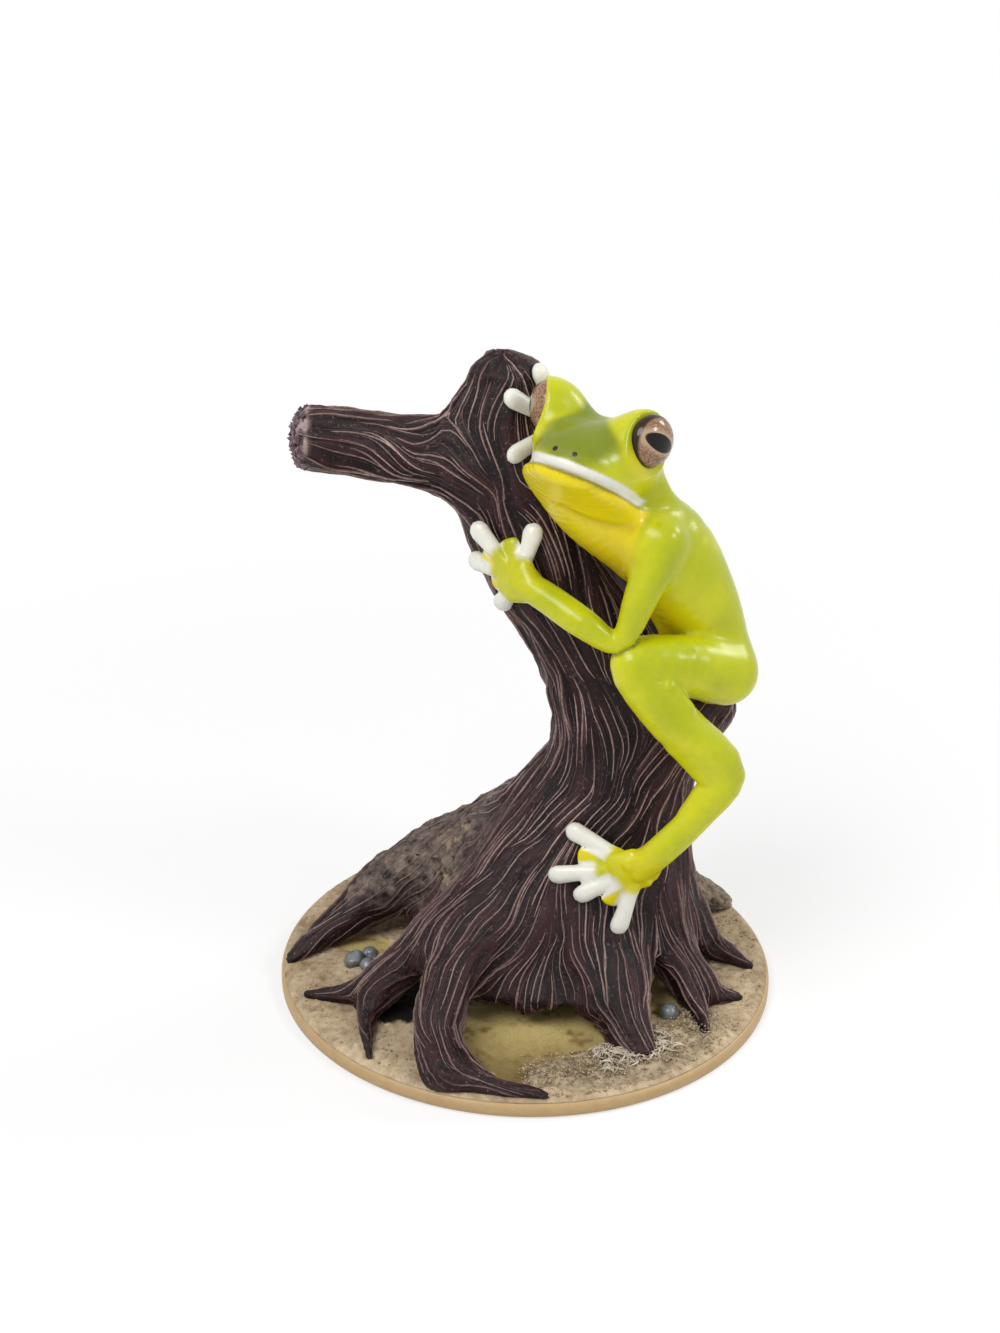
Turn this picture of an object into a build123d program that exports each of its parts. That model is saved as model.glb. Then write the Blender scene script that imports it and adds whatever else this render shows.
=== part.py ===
from build123d import *
import os
from math import cos, hypot, radians, sin

# A tree frog on a leaning stump, on a round sanded base: a cast, painted resin ornament.
# Origin at the middle of the base's underside, +Z up, the viewer on the -Y side, millimetres.
# A bearing is an angle about +Z from +X, so the viewer is at -90 degrees.

# Base plate, and the glued sand on it
BASE_DIAMETER = 100.0
BASE_THICKNESS = 2.8
BASE_EDGE_ROUND = 1.2
SAND_DEPTH = 0.7
SAND_MARGIN = 1.6
BARE_PATCH_AT = (2.0, -36.0)
BARE_PATCH_WIDTH = 28.0
BARE_PATCH_DEPTH = 16.0
BANK_WIDTH = 11.0
BANK_HEIGHT = 2.0
BANK_MARGIN = 3.0
BANK_BEARINGS = (-86.0, -34.0)
BANK_SLOPE = 35.0
PEBBLE_SINK = 1.6
PEBBLES = ((28.4, -21.0, 2.0), (-33.3, -4.2, 2.1), (-30.2, -6.4, 1.7), (-30.6, -1.4, 1.5))

# Trunk: level rings, each with its height above the sand, middle x and y, half width and half depth
TRUNK_RINGS = (
    (5.5, 6.0, 2.0, 29.0, 29.0),
    (12.5, 8.0, 2.0, 26.0, 25.0),
    (20.5, 10.0, 2.0, 23.0, 21.5),
    (34.5, 14.2, 2.0, 18.2, 16.0),
    (48.5, 18.2, 2.0, 14.0, 13.0),
    (59.5, 17.0, 2.0, 13.8, 12.7),
    (73.5, 10.6, 3.0, 13.7, 12.5),
    (83.5, 4.2, 3.5, 14.0, 12.0),
    (95.5, -1.5, 4.0, 12.7, 11.0),
    (106.5, -5.2, 4.0, 10.2, 9.6),
    (114.5, -6.0, 4.0, 8.6, 8.4),
    (120.5, -6.0, 4.0, 7.4, 7.3),
)
TRUNK_TOP_RISE = 6.0
TRUNK_CORE_RADIUS = 15.0

# Branch and seat knot, from inside the trunk outwards
BRANCH_LENGTH = 38.0
BRANCH_HEIGHT = 106.0
BRANCH_RISE = 3.2
BRANCH_ROOT_RADIUS = 8.4
BRANCH_RADIUS = 6.1
BRANCH_KNOB_RADIUS = 6.5
SEAT_HEIGHT = 57.0
SEAT_BEARING = -3.0
SEAT_REACH = 2.0
SEAT_RADIUS = 6.0
SEAT_ROOT_RADIUS = 8.5

# Roots: how far their tips stay inside the rim, and how deep they start in the trunk
ROOT_TIP_MARGIN = 3.2
ROOT_START_DEPTH = 9.0
ROOT_STEP = 0.3

# Each root: its height and bearing on the trunk, or none for a prong of another root,
# then stations with a bearing, a distance from the base's axis, a height above the sand and a radius.
# The last distance is counted in from the ring of tips.
ROOTS = {
    "root_front_left": (
        (18.5, -129.5),
        ((-113.2, 30.5, 10.0, 5.3), (-111.4, 39.0, 4.0, 4.5), (-107.5, 2.6, 1.0, 3.2)),
    ),
    "root_front_right": (
        (16.5, -63.4),
        ((-50.0, 31.0, 7.0, 7.2), (-54.9, 37.5, 2.4, 6.2), (-56.3, 4.0, 0.6, 3.6)),
    ),
    "root_left_fork": (
        (26.5, -140.0),
        (
            (-130.6, 18.4, 18.0, 5.4),
            (-139.4, 27.7, 11.0, 4.7),
            (-144.0, 34.0, 5.0, 3.9),
            (-152.1, 39.6, 1.5, 2.8),
            (-158.0, 0.4, 0.4, 1.6),
        ),
    ),
    "root_left": (
        (24.5, 160.6),
        ((146.7, 19.1, 15.5, 5.5), (159.0, 27.9, 9.5, 4.7), (173.8, 37.2, 4.0, 3.6), (185.6, 0.6, 0.6, 1.6)),
    ),
    "root_back_left": (
        (34.5, 143.8),
        ((113.6, 17.5, 20.0, 6.6), (128.2, 29.9, 11.0, 6.1), (132.1, 39.5, 3.0, 4.7), (135.0, 1.2, 0.6, 2.5)),
    ),
    "root_back": (
        (24.5, 95.0),
        ((74.0, 28.0, 10.0, 5.2), (82.5, 37.5, 3.0, 4.0), (86.2, 1.6, 0.6, 2.1)),
    ),
    "root_back_right": (
        (24.5, 29.0),
        ((24.1, 31.0, 12.5, 4.5), (27.2, 40.0, 4.6, 3.5), (27.6, 0.2, 0.8, 1.7)),
    ),
    "root_right": (
        (18.5, 7.0),
        ((5.2, 32.5, 8.6, 4.4), (0.0, 39.0, 3.0, 3.4), (-4.4, 1.2, 0.6, 1.7)),
    ),
    "root_right_front": (
        (18.5, -41.0),
        ((-22.8, 30.0, 8.6, 4.6), (-24.0, 35.6, 4.0, 3.6), (-21.8, 39.9, 1.4, 2.6), (-19.4, 1.7, 0.5, 1.5)),
    ),
    "root_front_toe": (None, ((-107.6, 43.0, 1.2, 2.7), (-97.7, 44.9, 0.8, 2.2), (-86.3, 0.7, 0.4, 1.4))),
    "root_left_prong": (None, ((-144.0, 34.0, 4.6, 3.1), (-137.5, 40.0, 1.8, 2.6), (-127.3, 0.4, 0.5, 1.6))),
    "root_right_prong": (None, ((-24.0, 35.6, 3.8, 3.0), (-30.8, 39.0, 1.6, 2.4), (-37.1, 2.9, 0.5, 1.5))),
}

# Steel dowels, glued into blind bores of their own size
TRUNK_PIN_DIAMETER = 4.0
TRUNK_PIN_LENGTH = 20.0
TRUNK_PIN_SEAT = 2.0
BRANCH_PIN_DIAMETER = 3.0
BRANCH_PIN_LENGTH = 18.0
FROG_PIN_DIAMETER = 2.2
FROG_PIN_TAIL = 1.5

# Torso: half width across the frog and half depth from back to belly, at each spine station
NECK_HALF = (7.0, 6.2)
CHEST_HALF = (9.0, 7.4)
MIDDLE_HALF = (9.6, 8.6)
LOIN_HALF = (8.6, 8.0)
RUMP_HALF = (7.2, 7.0)

# Head: how it is turned, and its stations ahead of and above the eye line, with half width and half height
HEAD_TURN = -117.6
HEAD_NOD = -12.0
HEAD_TILT = 8.5
HEAD_STATIONS = (
    (-11.0, -6.0, 8.4, 6.4),
    (-5.0, -5.0, 9.9, 7.0),
    (2.0, -4.2, 10.4, 6.8),
    (8.0, -2.4, 8.4, 5.0),
    (12.0, -1.6, 5.4, 3.3),
)
EYE_RADIUS = 4.6
EYE_SPREAD = 9.6
EYE_BACK = 3.0
EYELID = 0.7
EYELID_INSET = 1.4

# Lower jaw and throat
CHIN_RADIUS = 2.8
THROAT_RADIUS = 6.4
BREAST_RADIUS = 7.2

# Limbs, the same on both sides
SHOULDER_RADIUS = 4.4
UPPER_ARM_RADIUS = 4.0
ELBOW_RADIUS = 3.4
FOREARM_RADIUS = 3.3
WRIST_RADIUS = 2.7
PALM_RADIUS = 3.3
FINGER_RADIUS = 1.7
FINGERTIP_RADIUS = 1.95
HIP_RADIUS = 6.2
THIGH_RADIUS = 5.6
KNEE_RADIUS = 4.4
SHIN_RADIUS = 4.6
HEEL_RADIUS = 3.5
TARSUS_RADIUS = 3.3
ANKLE_RADIUS = 3.0
SOLE_RADIUS = 3.3
TOE_RADIUS = 1.8
TOE_TIP_RADIUS = 2.1
KNUCKLE_REACH = 1.6
JOINT_STEP = 0.5

# The frog's joints: height above the sand, bearing about the trunk, distance out from the bark
SPINE = {
    "neck": (99.9, -30.3, 15.4),
    "chest": (93.4, -29.3, 14.1),
    "middle": (83.9, -25.4, 13.3),
    "loin": (73.5, -22.7, 9.8),
    "rump": (67.4, -20.0, 8.7),
}
EYE_LINE = (117.5, -47.0, 16.7)
JAW = {"chin": (110.4, -70.5, 16.9), "throat": (101.5, -47.7, 15.0), "breast": (95.4, -37.9, 14.1)}
LEFT_ARM = {
    "shoulder": (99.4, -40.2, 22.1),
    "upper": (88.8, -51.9, 17.6),
    "elbow": (79.3, -68.7, 13.1),
    "forearm": (82.2, -79.6, 10.7),
    "wrist": (84.8, -92.3, 6.2),
    "palm": (86.6, -109.2, 3.2),
    "tips": ((94.1, -133.3, 1.2), (94.8, -85.2, 1.2), (86.5, -151.0, 1.2), (81.5, -158.0, 1.2)),
}
RIGHT_ARM = {
    "shoulder": (100.5, -10.7, 10.0),
    "upper": (104.5, 0.0, 14.5),
    "elbow": (108.5, 6.5, 16.8),
    "forearm": (110.5, -2.0, 11.0),
    "wrist": (112.5, -12.3, 5.6),
    "palm": (114.5, -32.0, 2.6),
    "tips": ((118.8, -77.7, 1.2), (109.2, -76.0, 1.2), (122.5, -39.2, 1.2), (119.0, 25.0, 1.2)),
}
LEFT_LEG = {
    "hip": (69.8, -32.4, 14.2),
    "thigh": (73.2, -50.7, 12.9),
    "knee": (74.6, -69.4, 12.0),
    "shin": (64.0, -65.5, 12.9),
    "heel": (52.7, -49.0, 15.9),
    "tarsus": (44.5, -58.3, 13.1),
    "ankle": (36.8, -66.6, 9.5),
    "sole": (33.0, -74.5, 5.6),
    "tips": ((36.3, -109.1, 1.2), (28.4, -108.7, 1.2), (25.5, -91.4, 1.2), (19.5, -69.0, 1.2)),
}
RIGHT_LEG = {
    "hip": (68.5, 0.8, 8.2),
    "thigh": (73.0, 28.0, 6.2),
    "knee": (76.5, 57.6, 8.4),
    "shin": (65.5, 57.0, 9.4),
    "heel": (54.5, 50.2, 10.2),
    "tarsus": (46.5, 59.0, 8.4),
    "ankle": (39.5, 66.9, 5.8),
    "sole": (34.5, 78.7, 3.6),
    "tips": ((36.0, 112.0, 1.2), (28.5, 110.0, 1.2), (25.0, 94.0, 1.2), (20.0, 74.0, 1.2)),
}

GROUND = BASE_THICKNESS + SAND_DEPTH
BASE_RADIUS = BASE_DIAMETER / 2
UP = Vector(0, 0, 1)
DOME_ANGLES = (75, 50, 25)
SPAN_STEPS = 3


def smooth(marks, column, at):
    """Value at a mark on a smooth curve through a column of values, one for each known mark."""
    spans = zip(column, column[1:], marks, marks[1:])
    steps = [(after - before) / (end - start) for before, after, start, end in spans]
    slopes = [steps[0], *((before + after) / 2 for before, after in zip(steps, steps[1:])), steps[-1]]
    spot = sum(mark <= at for mark in marks[1:-1])
    width = marks[spot + 1] - marks[spot]
    share = (at - marks[spot]) / width
    rest = 1 - share
    hold = column[spot] * (1 + 2 * share) * rest**2 + column[spot + 1] * (1 + 2 * rest) * share**2
    return hold + width * share * rest * (slopes[spot] * rest - slopes[spot + 1] * share)


def between(marks, steps):
    """Marks with each span divided into equal steps."""
    spread = []
    for start, end in zip(marks, marks[1:]):
        spread.extend(start + (end - start) * step / steps for step in range(steps))
    return [*spread, marks[-1]]


RING_HEIGHTS, *RING_COLUMNS = zip(*TRUNK_RINGS)


def ring_at(height):
    """Middle x and y, half width and half depth of the trunk at a height above the sand."""
    inside = min(max(height, RING_HEIGHTS[0]), RING_HEIGHTS[-1])
    return [smooth(RING_HEIGHTS, column, inside) for column in RING_COLUMNS]


def by_trunk(height, bearing, standoff):
    """Point at a height and bearing, a distance out from the bark."""
    x, y, half_width, half_depth = ring_at(height)
    across = cos(radians(bearing))
    along = sin(radians(bearing))
    bark = half_width * half_depth / hypot(half_depth * across, half_width * along)
    return Vector(x + (bark + standoff) * across, y + (bark + standoff) * along, GROUND + height)


def on_base(bearing, reach, height):
    """Point at a bearing and distance from the base's axis, at a height above the sand."""
    return Vector(reach * cos(radians(bearing)), reach * sin(radians(bearing)), GROUND + height)


def directions(points):
    """Unit direction of a path at each of its points."""
    steps = [(after - before).normalized() for before, after in zip(points, points[1:])]
    inner = [(before + after).normalized() for before, after in zip(steps, steps[1:])]
    return [steps[0], *inner, steps[-1]]


def square_to(direction, guide):
    """Unit vector square to a direction, as near as can be to a guide vector."""
    return (guide - direction * guide.dot(direction)).normalized()


def rounded_stations(points, halves, guide):
    """Planes and half sizes along a smooth path, with domed ends of the end stations' own sizes."""
    marks = [0.0]
    for before, after in zip(points, points[1:]):
        marks.append(marks[-1] + (after - before).length)
    columns = list(zip(*[(*point, *half) for point, half in zip(points, halves)]))
    rows = [[smooth(marks, column, mark) for column in columns] for mark in between(marks, SPAN_STEPS)]
    path = [Vector(*row[:3]) for row in rows]
    ways = directions(path)
    stations = []
    for angle in DOME_ANGLES:
        lead = ways[0] * min(halves[0]) * sin(radians(angle))
        stations.append((path[0] - lead, ways[0], [half * cos(radians(angle)) for half in halves[0]]))
    stations.extend((at, way, row[3:]) for at, way, row in zip(path, ways, rows))
    for angle in reversed(DOME_ANGLES):
        lead = ways[-1] * min(halves[-1]) * sin(radians(angle))
        stations.append((path[-1] + lead, ways[-1], [half * cos(radians(angle)) for half in halves[-1]]))
    return [(Plane(at, x_dir=square_to(way, guide), z_dir=way), half) for at, way, half in stations]


def swelling(points, halves, guide):
    """Solid that swells and tapers through oval stations along a path, with domed ends."""
    with BuildPart() as limb:
        for plane, half in rounded_stations(points, halves, guide):
            with BuildSketch(plane):
                Ellipse(*half)
        loft(ruled=True, clean=False)
    return limb.part


def round_limb(points, radii):
    """Solid of round section along a path, with domed ends."""
    chord = points[-1] - points[0]
    guide = Vector(1, 0, 0) if abs(chord.X) < max(abs(chord.Y), abs(chord.Z)) else UP
    return swelling(points, [(radius, radius) for radius in radii], guide)


def seated(piece, *carriers):
    """The piece cut back to the faces of the larger pieces that it sits on."""
    with BuildPart() as fitted:
        add(piece)
        box = piece.bounding_box()
        touching = [carrier for carrier in carriers if box.overlaps(carrier.bounding_box())]
        if touching:
            add(touching, clean=False, mode=Mode.SUBTRACT)
    with BuildPart() as whole:
        add(fitted.part.solids().sort_by(SortBy.VOLUME)[-1])
    return whole.part


def joined(*pieces):
    """One casting made of overlapping forms."""
    with BuildPart() as casting:
        add(pieces, clean=False)
    return casting.part


def tapered(start, end, start_radius, end_radius):
    """Straight round piece with ball ends of two sizes."""
    way = (end - start).normalized()
    guide = UP if abs(way.Z) < abs(way.X) else Vector(1, 0, 0)
    with BuildPart() as digit:
        with BuildSketch(Plane(start, x_dir=way, z_dir=square_to(way, guide))):
            Circle(start_radius)
            with Locations(((end - start).length, 0)):
                Circle(end_radius)
            make_hull()
            split(bisect_by=Plane.XZ, keep=Keep.BOTTOM)
        revolve(axis=Axis(start, way))
    return digit.part


def root(start, stations):
    """Root in straight tapering lengths, from inside the trunk down to the sand, flat underneath."""
    *along, (tip_bearing, tip_margin, tip_height, tip_radius) = stations
    points = [on_base(bearing, reach, height) for bearing, reach, height, radius in along]
    points.append(on_base(tip_bearing, BASE_RADIUS - ROOT_TIP_MARGIN - tip_margin, tip_height))
    radii = [station[-1] for station in stations]
    if start:
        points.insert(0, by_trunk(*start, -ROOT_START_DEPTH))
        radii.insert(0, radii[0])
    lengths = []
    for begin, end, begin_radius, end_radius in zip(points, points[1:], radii, radii[1:]):
        lengths.append(tapered(begin, end, begin_radius - ROOT_STEP, end_radius))
    with BuildPart() as on_sand:
        add(joined(*lengths))
        split(bisect_by=Plane.XY.offset(GROUND), keep=Keep.TOP)
    return on_sand.part


def dowel(start, end, diameter):
    """Plain steel dowel between two points."""
    with BuildPart() as pin:
        with BuildSketch(Plane(start, z_dir=(end - start).normalized())):
            Circle(diameter / 2)
        extrude(amount=(end - start).length)
    return pin.part


# Base plate with a rounded rim
with BuildPart() as base_plate:
    with BuildSketch(Plane.XY):
        Circle(BASE_RADIUS)
    extrude(amount=BASE_THICKNESS)
    fillet(base_plate.edges().filter_by(GeomType.CIRCLE).sort_by(Axis.Z)[-1], BASE_EDGE_ROUND)

# Trunk: one casting, standing on a core inside its flared foot
with BuildPart() as trunk_form:
    for height in between(RING_HEIGHTS, SPAN_STEPS):
        ring_x, ring_y, half_width, half_depth = ring_at(height)
        with BuildSketch(Plane((ring_x, ring_y, GROUND + height))):
            Ellipse(half_width, half_depth)
    for angle in reversed(DOME_ANGLES):
        with BuildSketch(Plane((ring_x, ring_y, GROUND + height + TRUNK_TOP_RISE * sin(radians(angle))))):
            Ellipse(half_width * cos(radians(angle)), half_depth * cos(radians(angle)))
    loft(ruled=True, clean=False)
    foot_height, foot_x, foot_y = TRUNK_RINGS[0][:3]
    with BuildSketch(Plane((foot_x, foot_y, GROUND))):
        Circle(TRUNK_CORE_RADIUS)
    extrude(amount=foot_height, clean=False)

trunk_pin_foot = Vector(foot_x, foot_y, BASE_THICKNESS - TRUNK_PIN_SEAT)
trunk_pin = dowel(trunk_pin_foot, trunk_pin_foot + UP * TRUNK_PIN_LENGTH, TRUNK_PIN_DIAMETER)

# Branch: blunt, with a knob at its end, doweled to the trunk
branch_x, branch_y, branch_side = ring_at(BRANCH_HEIGHT)[:3]
branch_root = Vector(branch_x, branch_y, GROUND + BRANCH_HEIGHT)
branch_end = branch_root + Vector(-BRANCH_LENGTH, 0, BRANCH_RISE)
branch_way = (branch_end - branch_root).normalized()
branch_neck = branch_root + branch_way * (branch_side + BRANCH_ROOT_RADIUS)
branch_form = round_limb(
    [branch_root, branch_neck, (branch_neck + branch_end) / 2, branch_end - branch_way * BRANCH_KNOB_RADIUS],
    [BRANCH_ROOT_RADIUS, BRANCH_RADIUS, BRANCH_RADIUS, BRANCH_KNOB_RADIUS],
)
branch_pin_middle = branch_root + branch_way * branch_side
branch_pin = dowel(
    branch_pin_middle - branch_way * BRANCH_PIN_LENGTH / 2,
    branch_pin_middle + branch_way * BRANCH_PIN_LENGTH / 2,
    BRANCH_PIN_DIAMETER,
)

# Seat knot under the rump
seat_end = by_trunk(SEAT_HEIGHT, SEAT_BEARING, SEAT_REACH)
seat_start = by_trunk(SEAT_HEIGHT - SEAT_RADIUS, SEAT_BEARING, -SEAT_ROOT_RADIUS)
seat_form = round_limb(
    [seat_start, (seat_start + seat_end) / 2, seat_end],
    [SEAT_ROOT_RADIUS, SEAT_ROOT_RADIUS, SEAT_RADIUS],
)

# Torso, doweled down onto the seat knot
spine = {name: by_trunk(*place) for name, place in SPINE.items()}
torso_side = radians(SPINE["middle"][1] - 90)
torso_form = swelling(
    [spine["neck"], spine["chest"], spine["middle"], spine["loin"], spine["rump"]],
    [NECK_HALF, CHEST_HALF, MIDDLE_HALF, LOIN_HALF, RUMP_HALF],
    Vector(cos(torso_side), sin(torso_side), 0),
)
seat_pin = dowel(seat_end, spine["rump"], FROG_PIN_DIAMETER)

# Head: a wedge along its own axes, with raised lids and a socket for each eye
eye_line = by_trunk(*EYE_LINE)
ahead_level = Vector(cos(radians(HEAD_TURN)), sin(radians(HEAD_TURN)), 0)
ahead = ahead_level * cos(radians(HEAD_NOD)) + UP * sin(radians(HEAD_NOD))
left_level = UP.cross(ahead_level)
crown_level = ahead.cross(left_level)
left = left_level * cos(radians(HEAD_TILT)) - crown_level * sin(radians(HEAD_TILT))
crown = ahead.cross(left)
head_points = [eye_line + ahead * forth + crown * rise for forth, rise, *halves in HEAD_STATIONS]
skull = swelling(head_points, [station[2:] for station in HEAD_STATIONS], left)


def eyelid(side):
    """Raised ball round an eye."""
    with BuildPart(Plane(eye_line + left * side * (EYE_SPREAD - EYELID_INSET))) as lid:
        Sphere(EYE_RADIUS + EYELID)
    return lid.part


def eye(side):
    """Set-in dome with a flat back."""
    with BuildPart(Plane(eye_line + left * side * EYE_SPREAD, z_dir=left * side)) as dome:
        Sphere(EYE_RADIUS)
        split(bisect_by=Plane(eye_line + left * side * (EYE_SPREAD - EYE_BACK), z_dir=left * side), keep=Keep.TOP)
    return dome.part


left_eye = eye(1)
right_eye = eye(-1)
neck_pin = dowel(head_points[1], spine["chest"], FROG_PIN_DIAMETER)
jaw_form = round_limb(
    [by_trunk(*JAW["chin"]), by_trunk(*JAW["throat"]), by_trunk(*JAW["breast"])],
    [CHIN_RADIUS, THROAT_RADIUS, BREAST_RADIUS],
)


def digits(root_point, tips, start_radius, tip_radius):
    """Fingers or toes that leave a palm or sole towards their tips on the bark."""
    ends = [by_trunk(*tip) for tip in tips]
    starts = [root_point + (end - root_point).normalized() * KNUCKLE_REACH for end in ends]
    return [tapered(start, end, start_radius, tip_radius) for start, end in zip(starts, ends)]


def arm_forms(arm):
    """Upper arm, forearm, and a hand with its fingers spread on the bark."""
    at = {name: by_trunk(*place) for name, place in arm.items() if name != "tips"}
    upper_arm_radii = [SHOULDER_RADIUS, UPPER_ARM_RADIUS, ELBOW_RADIUS]
    upper_arm = round_limb([at["shoulder"], at["upper"], at["elbow"]], upper_arm_radii)
    forearm_radii = [ELBOW_RADIUS - JOINT_STEP, FOREARM_RADIUS, WRIST_RADIUS]
    forearm = round_limb([at["elbow"], at["forearm"], at["wrist"]], forearm_radii)
    palm = tapered(at["wrist"], at["palm"], WRIST_RADIUS - JOINT_STEP, PALM_RADIUS)
    fingers = digits(at["palm"], arm["tips"], FINGER_RADIUS, FINGERTIP_RADIUS)
    return upper_arm, forearm, joined(palm, *fingers)


def leg_forms(leg):
    """Thigh, shin, tarsus, and a foot with its toes spread on the bark."""
    at = {name: by_trunk(*place) for name, place in leg.items() if name != "tips"}
    thigh = round_limb([at["hip"], at["thigh"], at["knee"]], [HIP_RADIUS, THIGH_RADIUS, KNEE_RADIUS])
    shin_radii = [KNEE_RADIUS - JOINT_STEP, SHIN_RADIUS, HEEL_RADIUS]
    shin = round_limb([at["knee"], at["shin"], at["heel"]], shin_radii)
    tarsus_radii = [HEEL_RADIUS - JOINT_STEP, TARSUS_RADIUS, ANKLE_RADIUS]
    tarsus = round_limb([at["heel"], at["tarsus"], at["ankle"]], tarsus_radii)
    sole = tapered(at["ankle"], at["sole"], ANKLE_RADIUS - JOINT_STEP, SOLE_RADIUS)
    toes = digits(at["sole"], leg["tips"], TOE_RADIUS, TOE_TIP_RADIUS)
    return thigh, shin, tarsus, joined(sole, *toes)


def limb_pin(joint, spine_point):
    """Dowel from the torso's middle into the head of a limb."""
    way = (joint - spine_point).normalized()
    return dowel(spine_point + way * FROG_PIN_DIAMETER, joint + way * FROG_PIN_TAIL, FROG_PIN_DIAMETER)


shoulder_line = (spine["neck"] + spine["chest"]) / 2
hip_line = (spine["loin"] + spine["rump"]) / 2
left_arm_pin = limb_pin(by_trunk(*LEFT_ARM["shoulder"]), shoulder_line)
right_arm_pin = limb_pin(by_trunk(*RIGHT_ARM["shoulder"]), shoulder_line)
left_leg_pin = limb_pin(by_trunk(*LEFT_LEG["hip"]), hip_line)
right_leg_pin = limb_pin(by_trunk(*RIGHT_LEG["hip"]), hip_line)

left_arm = arm_forms(LEFT_ARM)
right_arm = arm_forms(RIGHT_ARM)
left_leg = leg_forms(LEFT_LEG)
right_leg = leg_forms(RIGHT_LEG)

# Smaller pieces are cut back to the larger ones that carry them
trunk = seated(trunk_form.part, trunk_pin, branch_pin)
branch = seated(branch_form, trunk, branch_pin)
seat_stub = seated(seat_form, trunk, seat_pin)
roots = {}
for name, (start, stations) in ROOTS.items():
    roots[name] = seated(root(start, stations), trunk, *roots.values())

torso_pins = (seat_pin, neck_pin, left_arm_pin, right_arm_pin, left_leg_pin, right_leg_pin)
frog_torso = seated(torso_form, trunk, seat_stub, *torso_pins)
frog_head = seated(joined(skull, eyelid(1), eyelid(-1)), left_eye, right_eye, frog_torso, neck_pin, trunk)
lower_jaw = seated(jaw_form, frog_head, frog_torso, neck_pin, left_arm_pin, right_arm_pin, trunk)

left_thigh = seated(left_leg[0], frog_torso, trunk, left_leg_pin)
left_shin = seated(left_leg[1], left_thigh, frog_torso, trunk)
left_tarsus = seated(left_leg[2], left_shin, trunk)
left_foot = seated(left_leg[3], left_tarsus, trunk, *roots.values())
right_thigh = seated(right_leg[0], frog_torso, left_thigh, trunk, seat_stub, right_leg_pin)
right_shin = seated(right_leg[1], right_thigh, frog_torso, trunk, seat_stub)
right_tarsus = seated(right_leg[2], right_shin, trunk, seat_stub)
right_foot = seated(right_leg[3], right_tarsus, trunk, *roots.values())

left_upper_arm = seated(left_arm[0], frog_torso, frog_head, lower_jaw, left_thigh, left_shin, left_arm_pin)
left_forearm = seated(left_arm[1], left_upper_arm, left_thigh, left_shin, trunk)
left_hand = seated(left_arm[2], left_forearm, trunk)
right_upper_arm = seated(right_arm[0], frog_torso, frog_head, lower_jaw, right_arm_pin)
right_forearm = seated(right_arm[1], right_upper_arm, frog_head, lower_jaw, frog_torso, trunk)
right_hand = seated(right_arm[2], right_forearm, frog_head, trunk)

# Sand bed with a bare patch under the front arch
with BuildPart() as sand_bed:
    with BuildSketch(Plane.XY.offset(BASE_THICKNESS)):
        Circle(BASE_RADIUS - SAND_MARGIN)
        with Locations(BARE_PATCH_AT):
            Ellipse(BARE_PATCH_WIDTH / 2, BARE_PATCH_DEPTH / 2, mode=Mode.SUBTRACT)
    extrude(amount=SAND_DEPTH)


def pebble(x, y, radius):
    """Round stone pressed into the glue."""
    with BuildPart() as stone:
        with Locations((x, y, GROUND + radius - PEBBLE_SINK)):
            Sphere(radius)
        split(bisect_by=Plane.XY.offset(GROUND), keep=Keep.TOP)
    return seated(stone.part, *roots.values())


pebbles = joined(*(pebble(*place) for place in PEBBLES))

# Bank of coarse grit along the front right rim
bank_radius = BASE_RADIUS - BANK_MARGIN
bank_sweep = BANK_BEARINGS[1] - BANK_BEARINGS[0]
with BuildPart() as bank_form:
    with BuildSketch(Plane.XY.offset(GROUND)):
        with BuildLine():
            outer = CenterArc((0, 0), bank_radius, BANK_BEARINGS[0], bank_sweep)
            inner = CenterArc((0, 0), bank_radius - BANK_WIDTH, BANK_BEARINGS[0], bank_sweep)
            Line(outer @ 0, inner @ 0)
            Line(outer @ 1, inner @ 1)
        make_face()
    extrude(amount=BANK_HEIGHT, taper=BANK_SLOPE)
sand_bank = seated(bank_form.part, *roots.values(), pebbles)

pieces = {
    "base_plate": seated(base_plate.part, trunk_pin),
    "sand_bed": seated(sand_bed.part, trunk_pin),
    "sand_bank": sand_bank,
    "pebbles": pebbles,
    "trunk": trunk,
    "branch": branch,
    "seat_stub": seat_stub,
    **roots,
    "frog_torso": frog_torso,
    "frog_head": frog_head,
    "lower_jaw": lower_jaw,
    "left_eye": left_eye,
    "right_eye": right_eye,
    "left_upper_arm": left_upper_arm,
    "left_forearm": left_forearm,
    "left_hand": left_hand,
    "right_upper_arm": right_upper_arm,
    "right_forearm": right_forearm,
    "right_hand": right_hand,
    "left_thigh": left_thigh,
    "left_shin": left_shin,
    "left_tarsus": left_tarsus,
    "left_foot": left_foot,
    "right_thigh": right_thigh,
    "right_shin": right_shin,
    "right_tarsus": right_tarsus,
    "right_foot": right_foot,
    "trunk_pin": trunk_pin,
    "branch_pin": branch_pin,
    "seat_pin": seat_pin,
    "neck_pin": neck_pin,
    "arm_pins": joined(left_arm_pin, right_arm_pin),
    "leg_pins": joined(left_leg_pin, right_leg_pin),
}
os.makedirs("parts", exist_ok=True)
for name, piece in pieces.items():
    piece.label = name
    export_step(piece, f"parts/{name}.step")
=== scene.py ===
import math
from itertools import product

import bpy
import numpy as np
from mathutils import Matrix, Vector


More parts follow.
